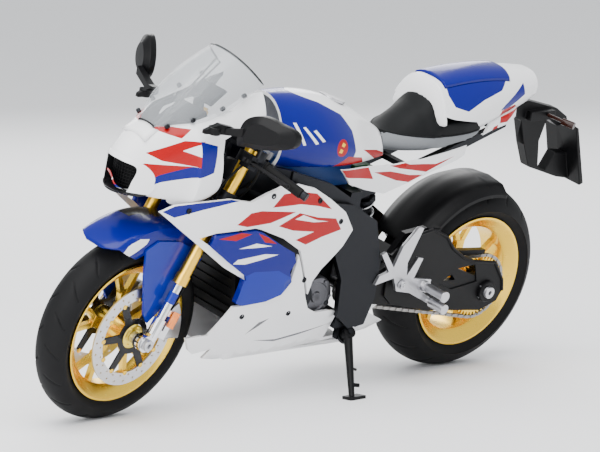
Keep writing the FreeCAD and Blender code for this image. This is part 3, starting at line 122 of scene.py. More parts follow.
def paint(name, colour, roughness=0.22):
    coat = {"Coat_Weight": 0.18, "Coat_Roughness": 0.04, "Specular_IOR_Level": 0.16}
    material = principled(name, colour, roughness, **coat)
    roughen(material, noise(material, 180.0), roughness * 0.8, roughness * 1.25)
    return material


def plastic(name, colour, roughness, grain=0.00003):
    material = principled(name, colour, roughness, Specular_IOR_Level=0.14)
    bump(material, noise(material, 1400.0, 2.0), grain, 0.5)
    roughen(material, noise(material, 160.0), roughness * 0.85, min(1.0, roughness * 1.15))
    return material


def metal(name, colour, roughness, grain=0.000002):
    material = principled(name, colour, roughness, 1.0)
    fine = noise(material, 420.0, 2.0)
    roughen(material, fine, roughness * 0.85, roughness * 1.15)
    bump(material, fine, grain, 0.4)
    return material


WHITE = paint("white_paint", rgb(0.83, 0.83, 0.84))
BLUE = paint("blue_paint", rgb(0.001, 0.004, 0.17))
PALE_BLUE = paint("pale_blue_paint", rgb(0.005, 0.018, 0.27))
RED = paint("red_paint", rgb(0.34, 0.0008, 0.003))
BLACK = plastic("black_plastic", rgb(0.0035, 0.0035, 0.004), 0.4)
GLOSS_BLACK = paint("gloss_black", rgb(0.008, 0.008, 0.009), 0.2)
DARK_METAL = metal("dark_metal", rgb(0.022, 0.023, 0.026), 0.42)
SILVER = metal("silver_metal", rgb(0.56, 0.56, 0.58), 0.36)
CHROME = metal("chrome", rgb(0.85, 0.85, 0.87), 0.12)
GOLD = metal("gold_metal", rgb(0.93, 0.60, 0.07), 0.26)
FORK_GOLD = metal("fork_gold", rgb(0.93, 0.56, 0.05), 0.3)
DISC_STEEL = metal("disc_steel", rgb(0.66, 0.66, 0.68), 0.32)
TYRE = plastic("tyre_rubber", rgb(0.006, 0.006, 0.0065), 0.62)
RUBBER = plastic("soft_rubber", rgb(0.005, 0.005, 0.005), 0.6)
SEAT = plastic("seat_cover", rgb(0.004, 0.0045, 0.005), 0.6, 0.00006)
SEAT_BAND = plastic("seat_band", rgb(0.17, 0.18, 0.19), 0.6, 0.00006)
ORANGE = principled("orange_lens", rgb(0.9, 0.22, 0.01), 0.2, Coat_Weight=0.5)
WRAP = plastic("battery_wrap", rgb(0.02, 0.06, 0.22), 0.35)
CIRCUIT = plastic("circuit", rgb(0.01, 0.1, 0.03), 0.5)
SPRING = metal("spring_steel", rgb(0.75, 0.75, 0.76), 0.25)
SCREEN = principled("clear_screen", rgb(0.60, 0.63, 0.66), 0.04, Alpha=0.2)
SMOKE = paint("smoked_lens", rgb(0.02, 0.006, 0.004), 0.15)
COVER_GREY = metal("cover_grey", rgb(0.11, 0.11, 0.12), 0.4)
YELLOW = paint("yellow_paint", rgb(0.85, 0.52, 0.03))
GREY_STROKE = paint("grey_stroke", rgb(0.12, 0.12, 0.13))
HUB_GOLD = metal("hub_gold", rgb(0.95, 0.72, 0.12), 0.3)
CHAIN_STEEL = metal("chain_steel", rgb(0.32, 0.31, 0.30), 0.4)

NODE_MATERIALS = {
    "main_frame": DARK_METAL, "subframe": DARK_METAL, "engine_block": DARK_METAL,
    "engine_covers": DARK_METAL, "radiator": BLACK, "exhaust": SILVER, "fuel_tank": BLUE,
    "fuel_cap": SILVER, "seat": SEAT, "tail_cowl": WHITE, "seat_hump": BLUE, "tail_lights": SMOKE,
    "plate_bracket": BLACK, "nose_cowl": WHITE, "windscreen": SCREEN, "dash": BLACK, "intake_duct": BLACK,
    "side_fairing_left": WHITE, "side_fairing_right": WHITE, "side_ducts": BLUE, "belly_pan": WHITE,
    "rearset_plates": SILVER, "foot_pegs": SILVER, "shift_lever": SILVER, "brake_pedal": SILVER,
    "side_stand": BLACK, "mirror_left": BLACK, "mirror_right": BLACK, "battery": WRAP,
    "receiver_board": CIRCUIT, "drive_motor": SILVER, "front_sprocket": SILVER, "steering_servo": BLACK,
    "servo_horn": BLACK, "steering_link": SILVER, "triple_clamps": DARK_METAL, "fork_tubes": FORK_GOLD,
    "handlebars": DARK_METAL, "grips": RUBBER, "clutch_lever": BLACK, "brake_lever": BLACK,
    "fork_legs": CHROME, "front_axle": SILVER, "front_calipers": SILVER, "front_fender": BLUE,
    "front_rim": GOLD, "front_tyre": TYRE, "front_discs": DISC_STEEL, "swingarm": BLACK,
    "rear_hugger": BLACK, "rear_axle": SILVER, "rear_caliper": GOLD, "rear_rim": GOLD, "rear_tyre": TYRE,
    "rear_sprocket": GOLD, "rear_disc": DISC_STEEL, "drive_chain": SILVER, "shock_body": DARK_METAL,
    "shock_rod": CHROME, "shock_spring": SPRING,
}


def dress_cad():
    for name, material in NODE_MATERIALS.items():
        mesh = nodes[name].data
        mesh.materials.clear()
        mesh.materials.append(material)


dress_cad()


# ---- mesh helpers ----
def cad_mesh(name, where="bike"):
    """A CAD node's mesh as a bmesh in the bike's own millimetres, with its seams joined."""
    mesh = bmesh.new()
    mesh.from_mesh(nodes[name].data)
    mesh.transform(PLACE[where].inverted())
    bmesh.ops.remove_doubles(mesh, verts=mesh.verts, dist=0.004)
    bmesh.ops.dissolve_degenerate(mesh, edges=mesh.edges, dist=0.002)
    return mesh


def add_piece(name, mesh, body, materials, where="bike", replaces=(), sharp=32.0):
    """Turns a bmesh in a frame's millimetres into a smooth-shaded piece that rides on a body."""
    mesh.transform(PLACE[where])
    data = bpy.data.meshes.new(name)
    mesh.to_mesh(data)
    mesh.free()
    for material in materials:
        data.materials.append(material)
    data.shade_smooth()
    data.set_sharp_from_angle(angle=math.radians(sharp))
    piece = bpy.data.objects.new(name, data)
    bpy.context.scene.collection.objects.link(piece)
    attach(piece, body)
    if replaces:
        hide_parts(*replaces)
    return piece


def inside(u, v, outline):
    """Whether a place lies in a closed outline, by counting the sides crossed."""
    hit = False
    for (u0, v0), (u1, v1) in zip(outline, outline[1:] + outline[:1]):
        if (v0 > v) != (v1 > v) and u < (u1 - u0) * (v - v0) / (v1 - v0) + u0:
            hit = not hit
    return hit


def cut_along(mesh, outline, axes=(0, 2)):
    """Cuts the mesh along an outline seen along the third axis."""
    a, b = axes
    for (u0, v0), (u1, v1) in zip(outline, outline[1:] + outline[:1]):
        low = (min(u0, u1) - 0.2, min(v0, v1) - 0.2)
        high = (max(u0, u1) + 0.2, max(v0, v1) + 0.2)
        faces = []
        for face in mesh.faces:
            us, vs = [v.co[a] for v in face.verts], [v.co[b] for v in face.verts]
            if max(us) > low[0] and min(us) < high[0] and max(vs) > low[1] and min(vs) < high[1]:
                faces.append(face)
        point, normal = Vector((0, 0, 0)), Vector((0, 0, 0))
        point[a], point[b] = u0, v0
        normal[a], normal[b] = v0 - v1, u1 - u0
        if normal.length < 1e-6:
            continue
        edges = list({edge for face in faces for edge in face.edges})
        verts = list({vert for face in faces for vert in face.verts})
        bmesh.ops.bisect_plane(mesh, geom=faces + edges + verts, dist=0.001, plane_co=point, plane_no=normal)


def paint_inside(mesh, outline, index, keep=lambda face, centre: True, axes=(0, 2)):
    cut_along(mesh, outline, axes)
    mesh.normal_update()
    for face in mesh.faces:
        centre = face.calc_center_median()
        if inside(centre[axes[0]], centre[axes[1]], outline) and keep(face, centre):
            face.material_index = index


def outward(face, centre):
    return face.normal.y * centre.y > 0.02 * abs(centre.y)


def line_inner(mesh, index, middle):
    """Gives a shell's inner faces their own material: those that look towards its middle line."""
    mesh.normal_update()
    for face in mesh.faces:
        centre = face.calc_center_median()
        away = centre - Vector((centre.x, 0, middle(centre.x)))
        if face.normal.dot(away) < -0.05 * away.length:
            face.material_index = index


def grid_mesh(rows, close_columns=False, close_rows=False):
    """A quad mesh through rows of points."""
    mesh = bmesh.new()
    verts = [[mesh.verts.new(point) for point in row] for row in rows]
    row_count, column_count = len(rows), len(rows[0])
    for i in range(row_count if close_rows else row_count - 1):
        for j in range(column_count if close_columns else column_count - 1):
            a, b = verts[i], verts[(i + 1) % row_count]
            k = (j + 1) % column_count
            mesh.faces.new((a[j], a[k], b[k], b[j]))
    return mesh


def smooth_row(points, steps, closed=False):
    """Points along a smooth curve through the given ones (Catmull-Rom)."""
    count = len(points)
    points = [Vector(p) for p in points]
    row = []
    for k in range(count if closed else count - 1):
        if closed:
            p0, p1, p2, p3 = (points[(k + s) % count] for s in (-1, 0, 1, 2))
        else:
            p0, p1, p2, p3 = points[max(k - 1, 0)], points[k], points[k + 1], points[min(k + 2, count - 1)]
        for step in range(steps):
            t = step / steps
            linear = (p2 - p0) * t
            square = (2 * p0 - 5 * p1 + 4 * p2 - p3) * t * t
            cube = (3 * p1 - p0 - 3 * p2 + p3) * t ** 3
            row.append(0.5 * (2 * p1 + linear + square + cube))
    if not closed:
        row.append(points[-1])
    return row


def ring_verts(mesh, centre, across, side, radius, sides):
    turns = [2 * math.pi * s / sides for s in range(sides)]
    return [mesh.verts.new(centre + (across * math.cos(t) + side * math.sin(t)) * radius) for t in turns]


def skin_rings(mesh, rings, caps=True):
    """Joins rings of vertices into a tube, with a cap on each end."""
    sides = len(rings[0])
    for a, b in zip(rings, rings[1:]):
        for s in range(sides):
            mesh.faces.new((a[s], a[(s + 1) % sides], b[(s + 1) % sides], b[s]))
    if caps:
        mesh.faces.new(rings[0][::-1])
        mesh.faces.new(rings[-1])
    return mesh


def tube_mesh(points, radius, sides=8, steps=6, caps=True, mesh=None):
    """A round tube along a smooth curve, added to a mesh."""
    mesh = mesh or bmesh.new()
    path = smooth_row(points, steps) if len(points) > 2 else [Vector(p) for p in points]
    rings = []
    across = None
    for k, point in enumerate(path):
        along = (path[min(k + 1, len(path) - 1)] - path[max(k - 1, 0)]).normalized()
        if across is None:
            across = along.orthogonal().normalized()
        else:
            across = (across - along * across.dot(along)).normalized()
        rings.append(ring_verts(mesh, point, across, along.cross(across), radius, sides))
    return skin_rings(mesh, rings, caps)


def lathed(mesh, centre, axis, profile, sides=24):
    """Adds a turned solid: (distance along, radius) pairs about an axis through the centre."""
    centre, axis = Vector(centre), Vector(axis).normalized()
    across = axis.orthogonal().normalized()
    side = axis.cross(across)
    rings = []
    for along, radius in profile:
        rings.append(ring_verts(mesh, centre + axis * along, across, side, radius, sides))
    return skin_rings(mesh, rings)


def circle_places(centre, radius, count):
    """Places round a circle that is seen from the side."""
    turns = [2 * math.pi * k / count for k in range(count)]
    return [Vector(centre) + Vector((radius * math.cos(t), 0, radius * math.sin(t))) for t in turns]


def face_outwards(mesh):
    bmesh.ops.recalc_face_normals(mesh, faces=mesh.faces)


def thicken(piece, thickness, offset=-1.0):
    solid = piece.modifiers.new("thickness", "SOLIDIFY")
    solid.thickness = thickness * MM
    solid.offset = offset


def plate_mesh(outline, y_of, thickness, spacing, holes=()):
    """A curved plate seen from the side: its outline filled, set on y_of(x, z) and thickened inwards."""
    mesh = bmesh.new()
    points, edges = [], []
    for loop in [outline] + list(holes):
        first = len(points)
        dense = []
        for (u0, v0), (u1, v1) in zip(loop, loop[1:] + loop[:1]):
            pieces = max(1, int(math.hypot(u1 - u0, v1 - v0) / spacing))
            dense += [(u0 + (u1 - u0) * k / pieces, v0 + (v1 - v0) * k / pieces) for k in range(pieces)]
        points += [Vector(p) for p in dense]
        edges += [(first + k, first + (k + 1) % len(dense)) for k in range(len(dense))]
    low_u, high_u = min(p[0] for p in outline), max(p[0] for p in outline)
    low_v, high_v = min(p[1] for p in outline), max(p[1] for p in outline)
    rim = list(points)
    for i in range(int((high_u - low_u) / spacing)):
        for j in range(int((high_v - low_v) / spacing)):
            u = low_u + (i + 0.5 + 0.5 * (j % 2)) * spacing
            v = low_v + (j + 0.5) * spacing
            if inside(u, v, outline) and not any(inside(u, v, hole) for hole in holes):
                if min((Vector((u, v)) - p).length for p in rim) > spacing * 0.55:
                    points.append(Vector((u, v)))
    flat = delaunay_2d_cdt(points, edges, [], 0, 0.0001)
    places, triangles = flat[0], flat[2]
    kept = []
    for triangle in triangles:
        u = sum(places[k][0] for k in triangle) / 3
        v = sum(places[k][1] for k in triangle) / 3
        if inside(u, v, outline) and not any(inside(u, v, hole) for hole in holes):
            kept.append(triangle)
    outer = [mesh.verts.new((p[0], y_of(p[0], p[1]), p[1])) for p in places]
    inner = [mesh.verts.new((p[0], y_of(p[0], p[1]) - thickness, p[1])) for p in places]
    directed = set()
    for a, b, c in kept:
        if (places[b] - places[a]).cross(places[c] - places[a]) > 0:
            b, c = c, b
        mesh.faces.new((outer[a], outer[b], outer[c]))
        mesh.faces.new((inner[a], inner[c], inner[b]))
        directed |= {(a, b), (b, c), (c, a)}
    for a, b in directed:
        if (b, a) not in directed:
            mesh.faces.new((outer[b], outer[a], inner[a], inner[b]))
    bmesh.ops.delete(mesh, geom=[v for v in mesh.verts if not v.link_faces], context="VERTS")
    return mesh


def mirror_mesh(mesh):
    """Adds the right-hand copy of a left-hand mesh."""
    geometry = bmesh.ops.duplicate(mesh, geom=mesh.verts[:] + mesh.edges[:] + mesh.faces[:])["geom"]
    verts = [item for item in geometry if isinstance(item, bmesh.types.BMVert)]
    for vert in verts:
        vert.co.y = -vert.co.y
    bmesh.ops.reverse_faces(mesh, faces=[item for item in geometry if isinstance(item, bmesh.types.BMFace)])
    return mesh


def mirrored_outline(points):
    return [(x, -y) for x, y in reversed(points)]


def mirrored_ring(half):
    """A closed ring of (y, z, 0) from its left half, which starts and ends on the middle line."""
    return [Vector((y, z, 0)) for y, z in half] + [Vector((-y, z, 0)) for y, z in half[-2:0:-1]]


def remove_inside(mesh, outline, axes=(0, 2), above=0.0):
    """Cuts away the faces inside an outline, where they are higher than a level."""
    cut_along(mesh, outline, axes)
    doomed = []
    for face in mesh.faces:
        centre = face.calc_center_median()
        if centre.z > above and inside(centre[axes[0]], centre[axes[1]], outline):
            doomed.append(face)
    bmesh.ops.delete(mesh, geom=doomed, context="FACES")


# ---- painted panels: the CAD shells with their flashes cut in ----
FAIRING_RED = [
    [(46, 92), (41, 97), (33, 97.4), (24, 96), (15, 89), (23, 91), (32, 92.4)],
    [(62, 86), (56, 90.4), (51, 91), (34, 89.6), (46, 86), (57, 85)],
    [
        (32, 89), (22, 86.4), (12, 85), (8, 80), (18, 78), (26, 75.5), (32, 78), (23, 80.6), (34, 82),
        (42, 84.4),
    ],
]
FAIRING_BLUE = [[(97, 92.6), (90, 95), (80, 96), (68, 97), (62, 95.4), (78, 92.4), (90, 89.6)]]
FAIRING_PALE_RED = [[(30, 88), (22, 85.2), (16, 84.2), (24, 84.6), (34, 86.6)]]
NOSE_RED = [
    [(100, 112), (87, 118), (80, 118.6), (88, 114.4), (82, 113), (82, 109), (95, 110)],
    [(112, 96), (112, 101), (101, 108.4), (84, 109), (96, 104.6), (104, 99.6), (108, 96)],
]
NOSE_BLUE = [
    [
        (82, 118.6), (75, 117), (76, 107), (80, 105.6), (95, 102), (105, 97), (108, 96), (104, 99.6),
        (96, 104.6), (84, 109), (82, 109), (82, 113),
    ],
]
NOSE_FRONT_RED = [(96, 120), (92, 121.6), (84, 122), (88, 118.6)]
TANK_BLUE = [
    (46, 140), (41, 131.5), (30, 130.2), (16, 126.4), (5, 121.6), (-0.6, 115.4), (-1.8, 108), (2, 101),
    (46, 98),
]
TANK_STROKES = [
    [(31, 121), (27, 113), (28.2, 112.8), (32.4, 121)],
    [(27, 119.6), (21, 113.4), (22.4, 113), (28.2, 119.4)],
    [(22, 118.4), (17.5, 114), (19, 113.8), (23.4, 118)],
]
TANK_SPOT = [(at.x, at.z) for at in circle_places((7.4, 0, 110.4), 3.4, 20)]
TANK_SPOT_MARKS = [
    [(5.4, 111.6), (7.2, 112.6), (8.2, 111.4), (6.6, 110.6)],
    [(7.0, 109.6), (8.6, 110.4), (9.6, 109.0), (7.8, 108.4)],
]
COVER_RED = [
    [(11.7, 101.8), (3, 106.5), (-6.9, 104.6), (-14, 95.5), (2.4, 98)],
    [
        (-7.8, 107.4), (-19.8, 104.8), (-34.6, 99.5), (-50, 98.4), (-60, 101), (-45.3, 95.3), (-28.9, 98.4),
        (-18.6, 101.4),
    ],
    [(-13.7, 98.4), (-23.4, 97.8), (-35.8, 94.9), (-43.8, 94.2), (-36, 91.8), (-28.1, 93.4)],
]
TAIL_BLUE = [[(-98, 128), (-86, 120.6), (-83.4, 118.2), (-88.5, 118.4), (-99, 123.4)]]
TAIL_RED = [
    [(-84.7, 118), (-93.3, 119.6), (-95, 118.6), (-89.6, 112.8), (-85.5, 112.3)],
    [(-84.7, 111.7), (-84.5, 109), (-80.8, 108.1), (-82.3, 110.9)],
]
HUMP_SIDE = [
    (-53.4, 140), (-52.8, 126), (-55.4, 121.8), (-62.6, 119.8), (-72, 123.6), (-83.4, 126.4), (-90, 132),
    (-92, 140),
]
SEAT_SIDE_ROOM = [
    (-36, 104), (-36, 122.6), (-43.9, 120.2), (-54.4, 117.2), (-68.9, 114.9), (-73.4, 111.6), (-76, 109),
    (-76, 106.9), (-56, 106.5),
]
BELLY_STROKES = [
    [(42.1, 36.7), (37.8, 42.1), (33.3, 43.6), (37.3, 40.1)],
    [(36, 33), (24, 32), (12, 33.6), (-4, 35.6), (12, 32.6), (24, 31)],
]
DUCT_STROKES = [
    [(61.3, 70.4), (59.4, 72.1), (46.8, 73.7), (40, 73), (47, 71.6), (55.7, 70)],
    [(60, 76.6), (52, 78.4), (44, 76.8), (52, 76.6)],
]
DUCT_LOW = [(20, 50), (60, 48), (58.4, 63), (50, 66.4), (38, 66), (30, 62)]
DUCT_RED = [
    [(70, 81), (60, 83.2), (55, 82.4), (62, 80)],
    [(52, 82.6), (47, 80.6), (42, 77.6), (48, 78.6)],
]
SCREEN_OPENING = [(94.6, 3.6), (92.0, 6.6), (83.4, 11.4), (70, 11.8), (50, 9.6), (40, 9.6)]


SCREEN_OPENING_ABOVE = 110


def painted(name, cad, base, layers, warp=None, removed=None, opening=None, lining=None):
    """A CAD shell as a visible piece, with flashes painted in and rooms cut away."""
    mesh = cad_mesh(cad)
    if warp:
        for vert in mesh.verts:
            vert.co = warp(vert.co)
    materials = [base]
    for outlines, material in layers:
        materials.append(material)
        for outline in outlines:
            paint_inside(mesh, outline, len(materials) - 1, outward)
    if removed:
        remove_inside(mesh, removed)
    if opening:
        remove_inside(mesh, opening + mirrored_outline(opening), (0, 1), SCREEN_OPENING_ABOVE)
    if lining:
        material, middle = lining
        materials.append(material)
        line_inner(mesh, len(materials) - 1, middle)
    return add_piece(name, mesh, "chassis", materials, "bike", (cad,), 38.0)


def swept_back(place):
    """Draws the corners of the blunt nose back, so that it is pointed in plan."""
    share = min(1.0, max(0.0, (place.x - 82) / 24))
    return Vector((place.x - 5.6 * share * (place.y / 10) ** 2, place.y, place.z))


def nose_middle(x):
    """The height of the nose shell's middle line."""
    return 108 + max(0.0, 80 - x) * 0.35


LIP_OUTER = [(0, 94.8), (11.0, 95.6), (13.3, 102.5), (10.5, 107.6), (4, 109.4), (0, 109.8)]
LIP_INNER = [(0, 95.9), (6.2, 95.9), (7.8, 100.6), (8.6, 106.2), (4.2, 107.5), (0, 107.8)]
LIP_STEPS = ((0, 106.4), (0.35, 107.1), (0.7, 107.5), (0.95, 107.6), (1.0, 107.2))
LIP_BLACK_BELOW = 96.4
FUNNEL_STEPS = ((1.0, 107.2), (0.96, 106.2), (0.86, 102.5), (0.8, 101.8), (0.02, 101.8))
FUNNEL_MIDDLE = 102
GRILLE_X = 103.7
CHIN_ROWS = (  # x, half width, top and bottom
    (107.3, 6.4, 96.2, 95.0), (104, 9.4, 98.4, 95.4), (97, 13.6, 98.6, 95.0), (88, 16.4, 99.0, 95.2),
    (78, 18.6, 99.6, 95.8),
)
SCREEN_BASE_ROWS = ((100.2, 117.4), (98.4, 118.7), (96.4, 119.9), (94.2, 121.0))


def add_nose_lip():
    """The white lip round the air intake."""
    outer = smooth_row(mirrored_ring(LIP_OUTER), 6, True)
    inner = smooth_row(mirrored_ring(LIP_INNER), 6, True)
    rows = []
    for share, x in LIP_STEPS:
        mixed = [a.lerp(b, share) for a, b in zip(outer, inner)]
        rows.append([swept_back(Vector((x, p.x, p.y))) for p in mixed])
    lip = grid_mesh(rows, True)
    face_outwards(lip)
    for face in lip.faces:
        if face.calc_center_median().z < LIP_BLACK_BELOW:
            face.material_index = 1
    add_piece("nose_lip", lip, "chassis", [WHITE, GLOSS_BLACK], replaces=("intake_duct",))


def add_intake_funnel():
    """The black funnel behind the lip, with its grille of crossed wires."""
    rim = smooth_row(mirrored_ring(LIP_INNER), 6, True)
    rows = []
    for size, x in FUNNEL_STEPS:
        ring = [Vector((x, p.x * size, FUNNEL_MIDDLE + (p.y - FUNNEL_MIDDLE) * size)) for p in rim]
        rows.append([swept_back(at) for at in ring])
    funnel = grid_mesh(rows, True)
    for k in range(7):
        z = 97.6 + 1.25 * k
        wire = [swept_back(Vector((GRILLE_X - 0.1, y, z))) for y in (-6.0, -3, 0, 3, 6.0)]
        tube_mesh(wire, 0.22, 6, 2, True, funnel)
    for k in range(9):
        y = -5.2 + 1.3 * k
        wire = [swept_back(Vector((GRILLE_X + 0.1, y, z))) for z in (97.2, 106.2)]
        tube_mesh(wire, 0.2, 6, 1, True, funnel)
    face_outwards(funnel)
    add_piece("intake_funnel", funnel, "chassis", [BLACK])


def add_chin():
    """The black panel under the nose, and the small white panel ahead of the screen."""
    rows = []
    for x, half, top, low in CHIN_ROWS:
        left = [(half, top), (half * 0.93, low + 1.4), (half * 0.6, low + 0.2)]
        section = left + [(0, low)] + [(-y, z) for y, z in left[::-1]]
        rows.append([Vector((x, p.x, p.y)) for p in smooth_row([(y, z, 0) for y, z in section], 4)])
    fine = list(zip(*[smooth_row(column, 5) for column in zip(*rows)]))
    chin = grid_mesh([[swept_back(p) for p in row] for row in fine])
    face_outwards(chin)
    thicken(add_piece("chin", chin, "chassis", [BLACK]), 0.6, 0.0)
    columns = (-6.6, -4.4, -2.2, 0, 2.2, 4.4, 6.6)
    base = grid_mesh([[(x, y, z - 0.028 * y * y) for y in columns] for x, z in SCREEN_BASE_ROWS])
    face_outwards(base)
    thicken(add_piece("screen_base", base, "chassis", [WHITE]), 0.8)


TAIL_FRONT = [
    (0, 130.1), (4, 130.0), (7, 129.3), (10.6, 126.6), (13.4, 122.4), (15.2, 117.6), (14.6, 114.0),
    (0, 113.0),
]
TAIL_FRONT_STEPS = ((1.0, -50.6), (0.97, -49.7), (0.85, -49.2), (0.5, -48.8), (0.02, -48.7))
TAIL_FRONT_MIDDLE = 120


def add_tail_front():
    """The closed white front of the tail, behind the pad."""
    ring = smooth_row(mirrored_ring(TAIL_FRONT), 3, True)
    rows = []
    for size, x in TAIL_FRONT_STEPS:
        middle = TAIL_FRONT_MIDDLE
        rows.append([Vector((x, p.x * size, middle + (p.y - middle) * size)) for p in ring])
    mesh = grid_mesh(rows, True)
    face_outwards(mesh)
    add_piece("tail_front", mesh, "chassis", [WHITE])


def add_clutch_cover():
    """The round cover on the engine's left side, with its six screws."""
    x, z = 7.0, 48.4
    profile = [(0, 8.6), (3.2, 8.6), (4.2, 8.0), (4.4, 6.2), (3.9, 5.8), (4.0, 2.4), (4.6, 2.0)]
    cover = lathed(bmesh.new(), (x, 15.6, z), (0, 1, 0), profile, 40)
    for at in circle_places((x, 19.4, z), 7.2, 6):
        lathed(cover, at, (0, 1, 0), [(0, 0.75), (0.9, 0.75), (1.1, 0.5)], 8)
    add_piece("clutch_cover", cover, "chassis", [COVER_GREY])


def add_bodywork():
    for side in ("left", "right"):
        layers = [(FAIRING_RED, RED), (FAIRING_BLUE, BLUE), (FAIRING_PALE_RED, WHITE)]
        painted("fairing_" + side, "side_fairing_" + side, WHITE, layers)
    layers = [(NOSE_RED, RED), (NOSE_BLUE, BLUE), ([NOSE_FRONT_RED], RED)]
    painted(
        "nose", "nose_cowl", WHITE, layers, warp=swept_back, opening=SCREEN_OPENING, lining=(BLACK,
        nose_middle),
    )
    layers = [
        ([TANK_BLUE], BLUE), (TANK_STROKES, WHITE), (COVER_RED, RED), ([TANK_SPOT], RED),
        (TANK_SPOT_MARKS, YELLOW),
    ]
    painted("tank", "fuel_tank", WHITE, layers)
    layers = [(COVER_RED, RED), ([HUMP_SIDE], BLUE), (TAIL_BLUE, BLUE), (TAIL_RED, RED)]
    painted("tail", "tail_cowl", WHITE, layers, removed=SEAT_SIDE_ROOM)
    painted("belly", "belly_pan", WHITE, [(BELLY_STROKES, GREY_STROKE)])
    layers = [([DUCT_LOW], PALE_BLUE), (DUCT_STROKES, WHITE), (DUCT_RED, RED)]
    painted("duct_covers", "side_ducts", BLUE, layers)
    add_nose_lip()
    add_intake_funnel()
    add_chin()
    add_tail_front()
    add_clutch_cover()


# ---- screen ----
SCREEN_ROWS = [  # x at the middle and the side, half width, z at the middle and the side
    (94.4, 95.0, 4.4, 120.9, 120.3), (90.0, 89.0, 9.0, 127.6, 121.9), (83.0, 80.0, 12.7, 135.4, 124.2),
    (74.5, 69.5, 13.7, 142.4, 127.8), (64.5, 51.5, 12.8, 148.6, 137.4),
]


SCREEN_BOLTS = ((92, 8.4, 121.8), (83, 11.9, 124.9), (70, 12.8, 129.0), (60, 12.4, 133.4))


def add_screen():
    columns = 24
    rows = []
    for centre_x, side_x, width, centre_z, side_z in SCREEN_ROWS:
        row = []
        for k in range(columns + 1):
            c = -1 + 2 * k / columns
            bow = abs(c) ** 2.2
            x = centre_x + (side_x - centre_x) * bow
            z = centre_z + (side_z - centre_z) * bow
            row.append((x, width * math.sin(c * math.pi / 2), z))
        rows.append(row)
    fine = list(zip(*[smooth_row(column, 6) for column in zip(*rows)]))
    glass = grid_mesh(fine)
    screen = add_piece("screen", glass, "chassis", [SCREEN], replaces=("windscreen",))
    thicken(screen, 0.7, 0.0)
    front, rear = list(fine[0]), list(fine[-1])
    border = front + rear[1:] + rear[::-1][1:] + front[::-1][1:-1]
    trim = tube_mesh(border + [border[0]], 0.42, 8, 1, False)
    add_piece("screen_edge", trim, "chassis", [GLOSS_BLACK])
    bolts = bmesh.new()
    head = [(-0.5, 0.9), (0.8, 0.9), (1.1, 0.6)]
    for x, y, z in SCREEN_BOLTS:
        for side in (-1, 1):
            lathed(bolts, (x, side * y, z), (0.1, side * 0.75, 0.6), head, 12)
    add_piece("screen_bolts", bolts, "chassis", [DARK_METAL])


# ---- seat ----
SEAT_MOVE = 0.7
TONGUE_RISE = 2.6
SEAT_FLOOR = 103.4
SEAT_SEAM = [(-27, 109.8), (-34, 109.6), (-44, 109.5), (-58, 109.7), (-68, 110.3), (-74.6, 110.9)]
SEAT_BAND_OUTLINE = [
    (-18, 110), (-27, 109.8), (-34, 109.6), (-44, 109.5), (-58, 109.7), (-68, 110.3), (-80, 111.3),
    (-80, 100),
    (-18, 100),
]


def seat_shape(place):
    """The pad's starting shape: a little smaller than the CAD's, with its tongue raised."""
    height = SEAT_FLOOR + (place.z - SEAT_FLOOR) * 0.965
    if place.x < -45:
        height += TONGUE_RISE * min(1.0, max(0.0, (height - 105) / 6)) * min(1.0, (-45 - place.x) / 8)
    return Vector((place.x, place.y * (1.0 if place.x < -46 else 0.97), height))


def blow_up(pad):
    """Swells the pad with a cloth simulation; no point moves more than SEAT_MOVE."""
    still = [vert.co.copy() for vert in pad.data.vertices]
    cloth = pad.modifiers.new("cloth", "CLOTH")
    cloth.settings.quality = 5
    cloth.settings.mass = 0.1
    cloth.settings.use_pressure = True
    cloth.settings.uniform_pressure_force = 3.0
    cloth.settings.effector_weights.gravity = 0.0
    cloth.collision_settings.use_self_collision = False
    for step in range(1, 13):
        bpy.context.scene.frame_set(step)
    evaluated = pad.evaluated_get(bpy.context.evaluated_depsgraph_get())
    blown = [vert.co.copy() for vert in evaluated.data.vertices]
    pad.modifiers.remove(cloth)
    bpy.context.scene.frame_set(1)
    for vert, start, end in zip(pad.data.vertices, still, blown):
        move = end - start
        if move.length > SEAT_MOVE * MM:
            move = move.normalized() * SEAT_MOVE * MM
        vert.co = start + move


def add_seat():
    """The pad, then its grey band and its piping."""
    mesh = cad_mesh("seat")
    for vert in mesh.verts:
        vert.co = seat_shape(vert.co)
    pad = add_piece("seat_pad", mesh, "chassis", [SEAT, SEAT_BAND], replaces=("seat",))
    remesh = pad.modifiers.new("remesh", "REMESH")
    remesh.mode = "VOXEL"
    remesh.voxel_size = 0.95 * MM
    bpy.context.view_layer.objects.active = pad
    pad.select_set(True)
    bpy.ops.object.modifier_apply(modifier="remesh")
    blow_up(pad)
    soft = pad.modifiers.new("soften", "SMOOTH")
    soft.factor, soft.iterations = 0.5, 6
    bpy.ops.object.modifier_apply(modifier="soften")
    pad.select_set(False)
    shape = bmesh.new()
    shape.from_mesh(pad.data)
    shape.transform(on_stand.inverted())
    paint_inside(shape, SEAT_BAND_OUTLINE, 1, lambda face, centre: abs(face.normal.y) > 0.25)
    surface = BVHTree.FromBMesh(shape)
    seams = bmesh.new()
    for side in (-1, 1):
        path = []
        for x, z, _ in smooth_row([(x, z, 0) for x, z in SEAT_SEAM], 5):
            hit = surface.ray_cast(Vector((x, side * 40, z)), Vector((0, -side, 0)))[0]
            if hit:
                path.append(hit + Vector((0, -side * 0.12, 0)))
        tube_mesh(path, 0.42, steps=1, mesh=seams)
    shape.transform(on_stand)
    shape.to_mesh(pad.data)
    shape.free()
    pad.data.shade_smooth()
    add_piece("seat_piping", seams, "chassis", [SEAT])


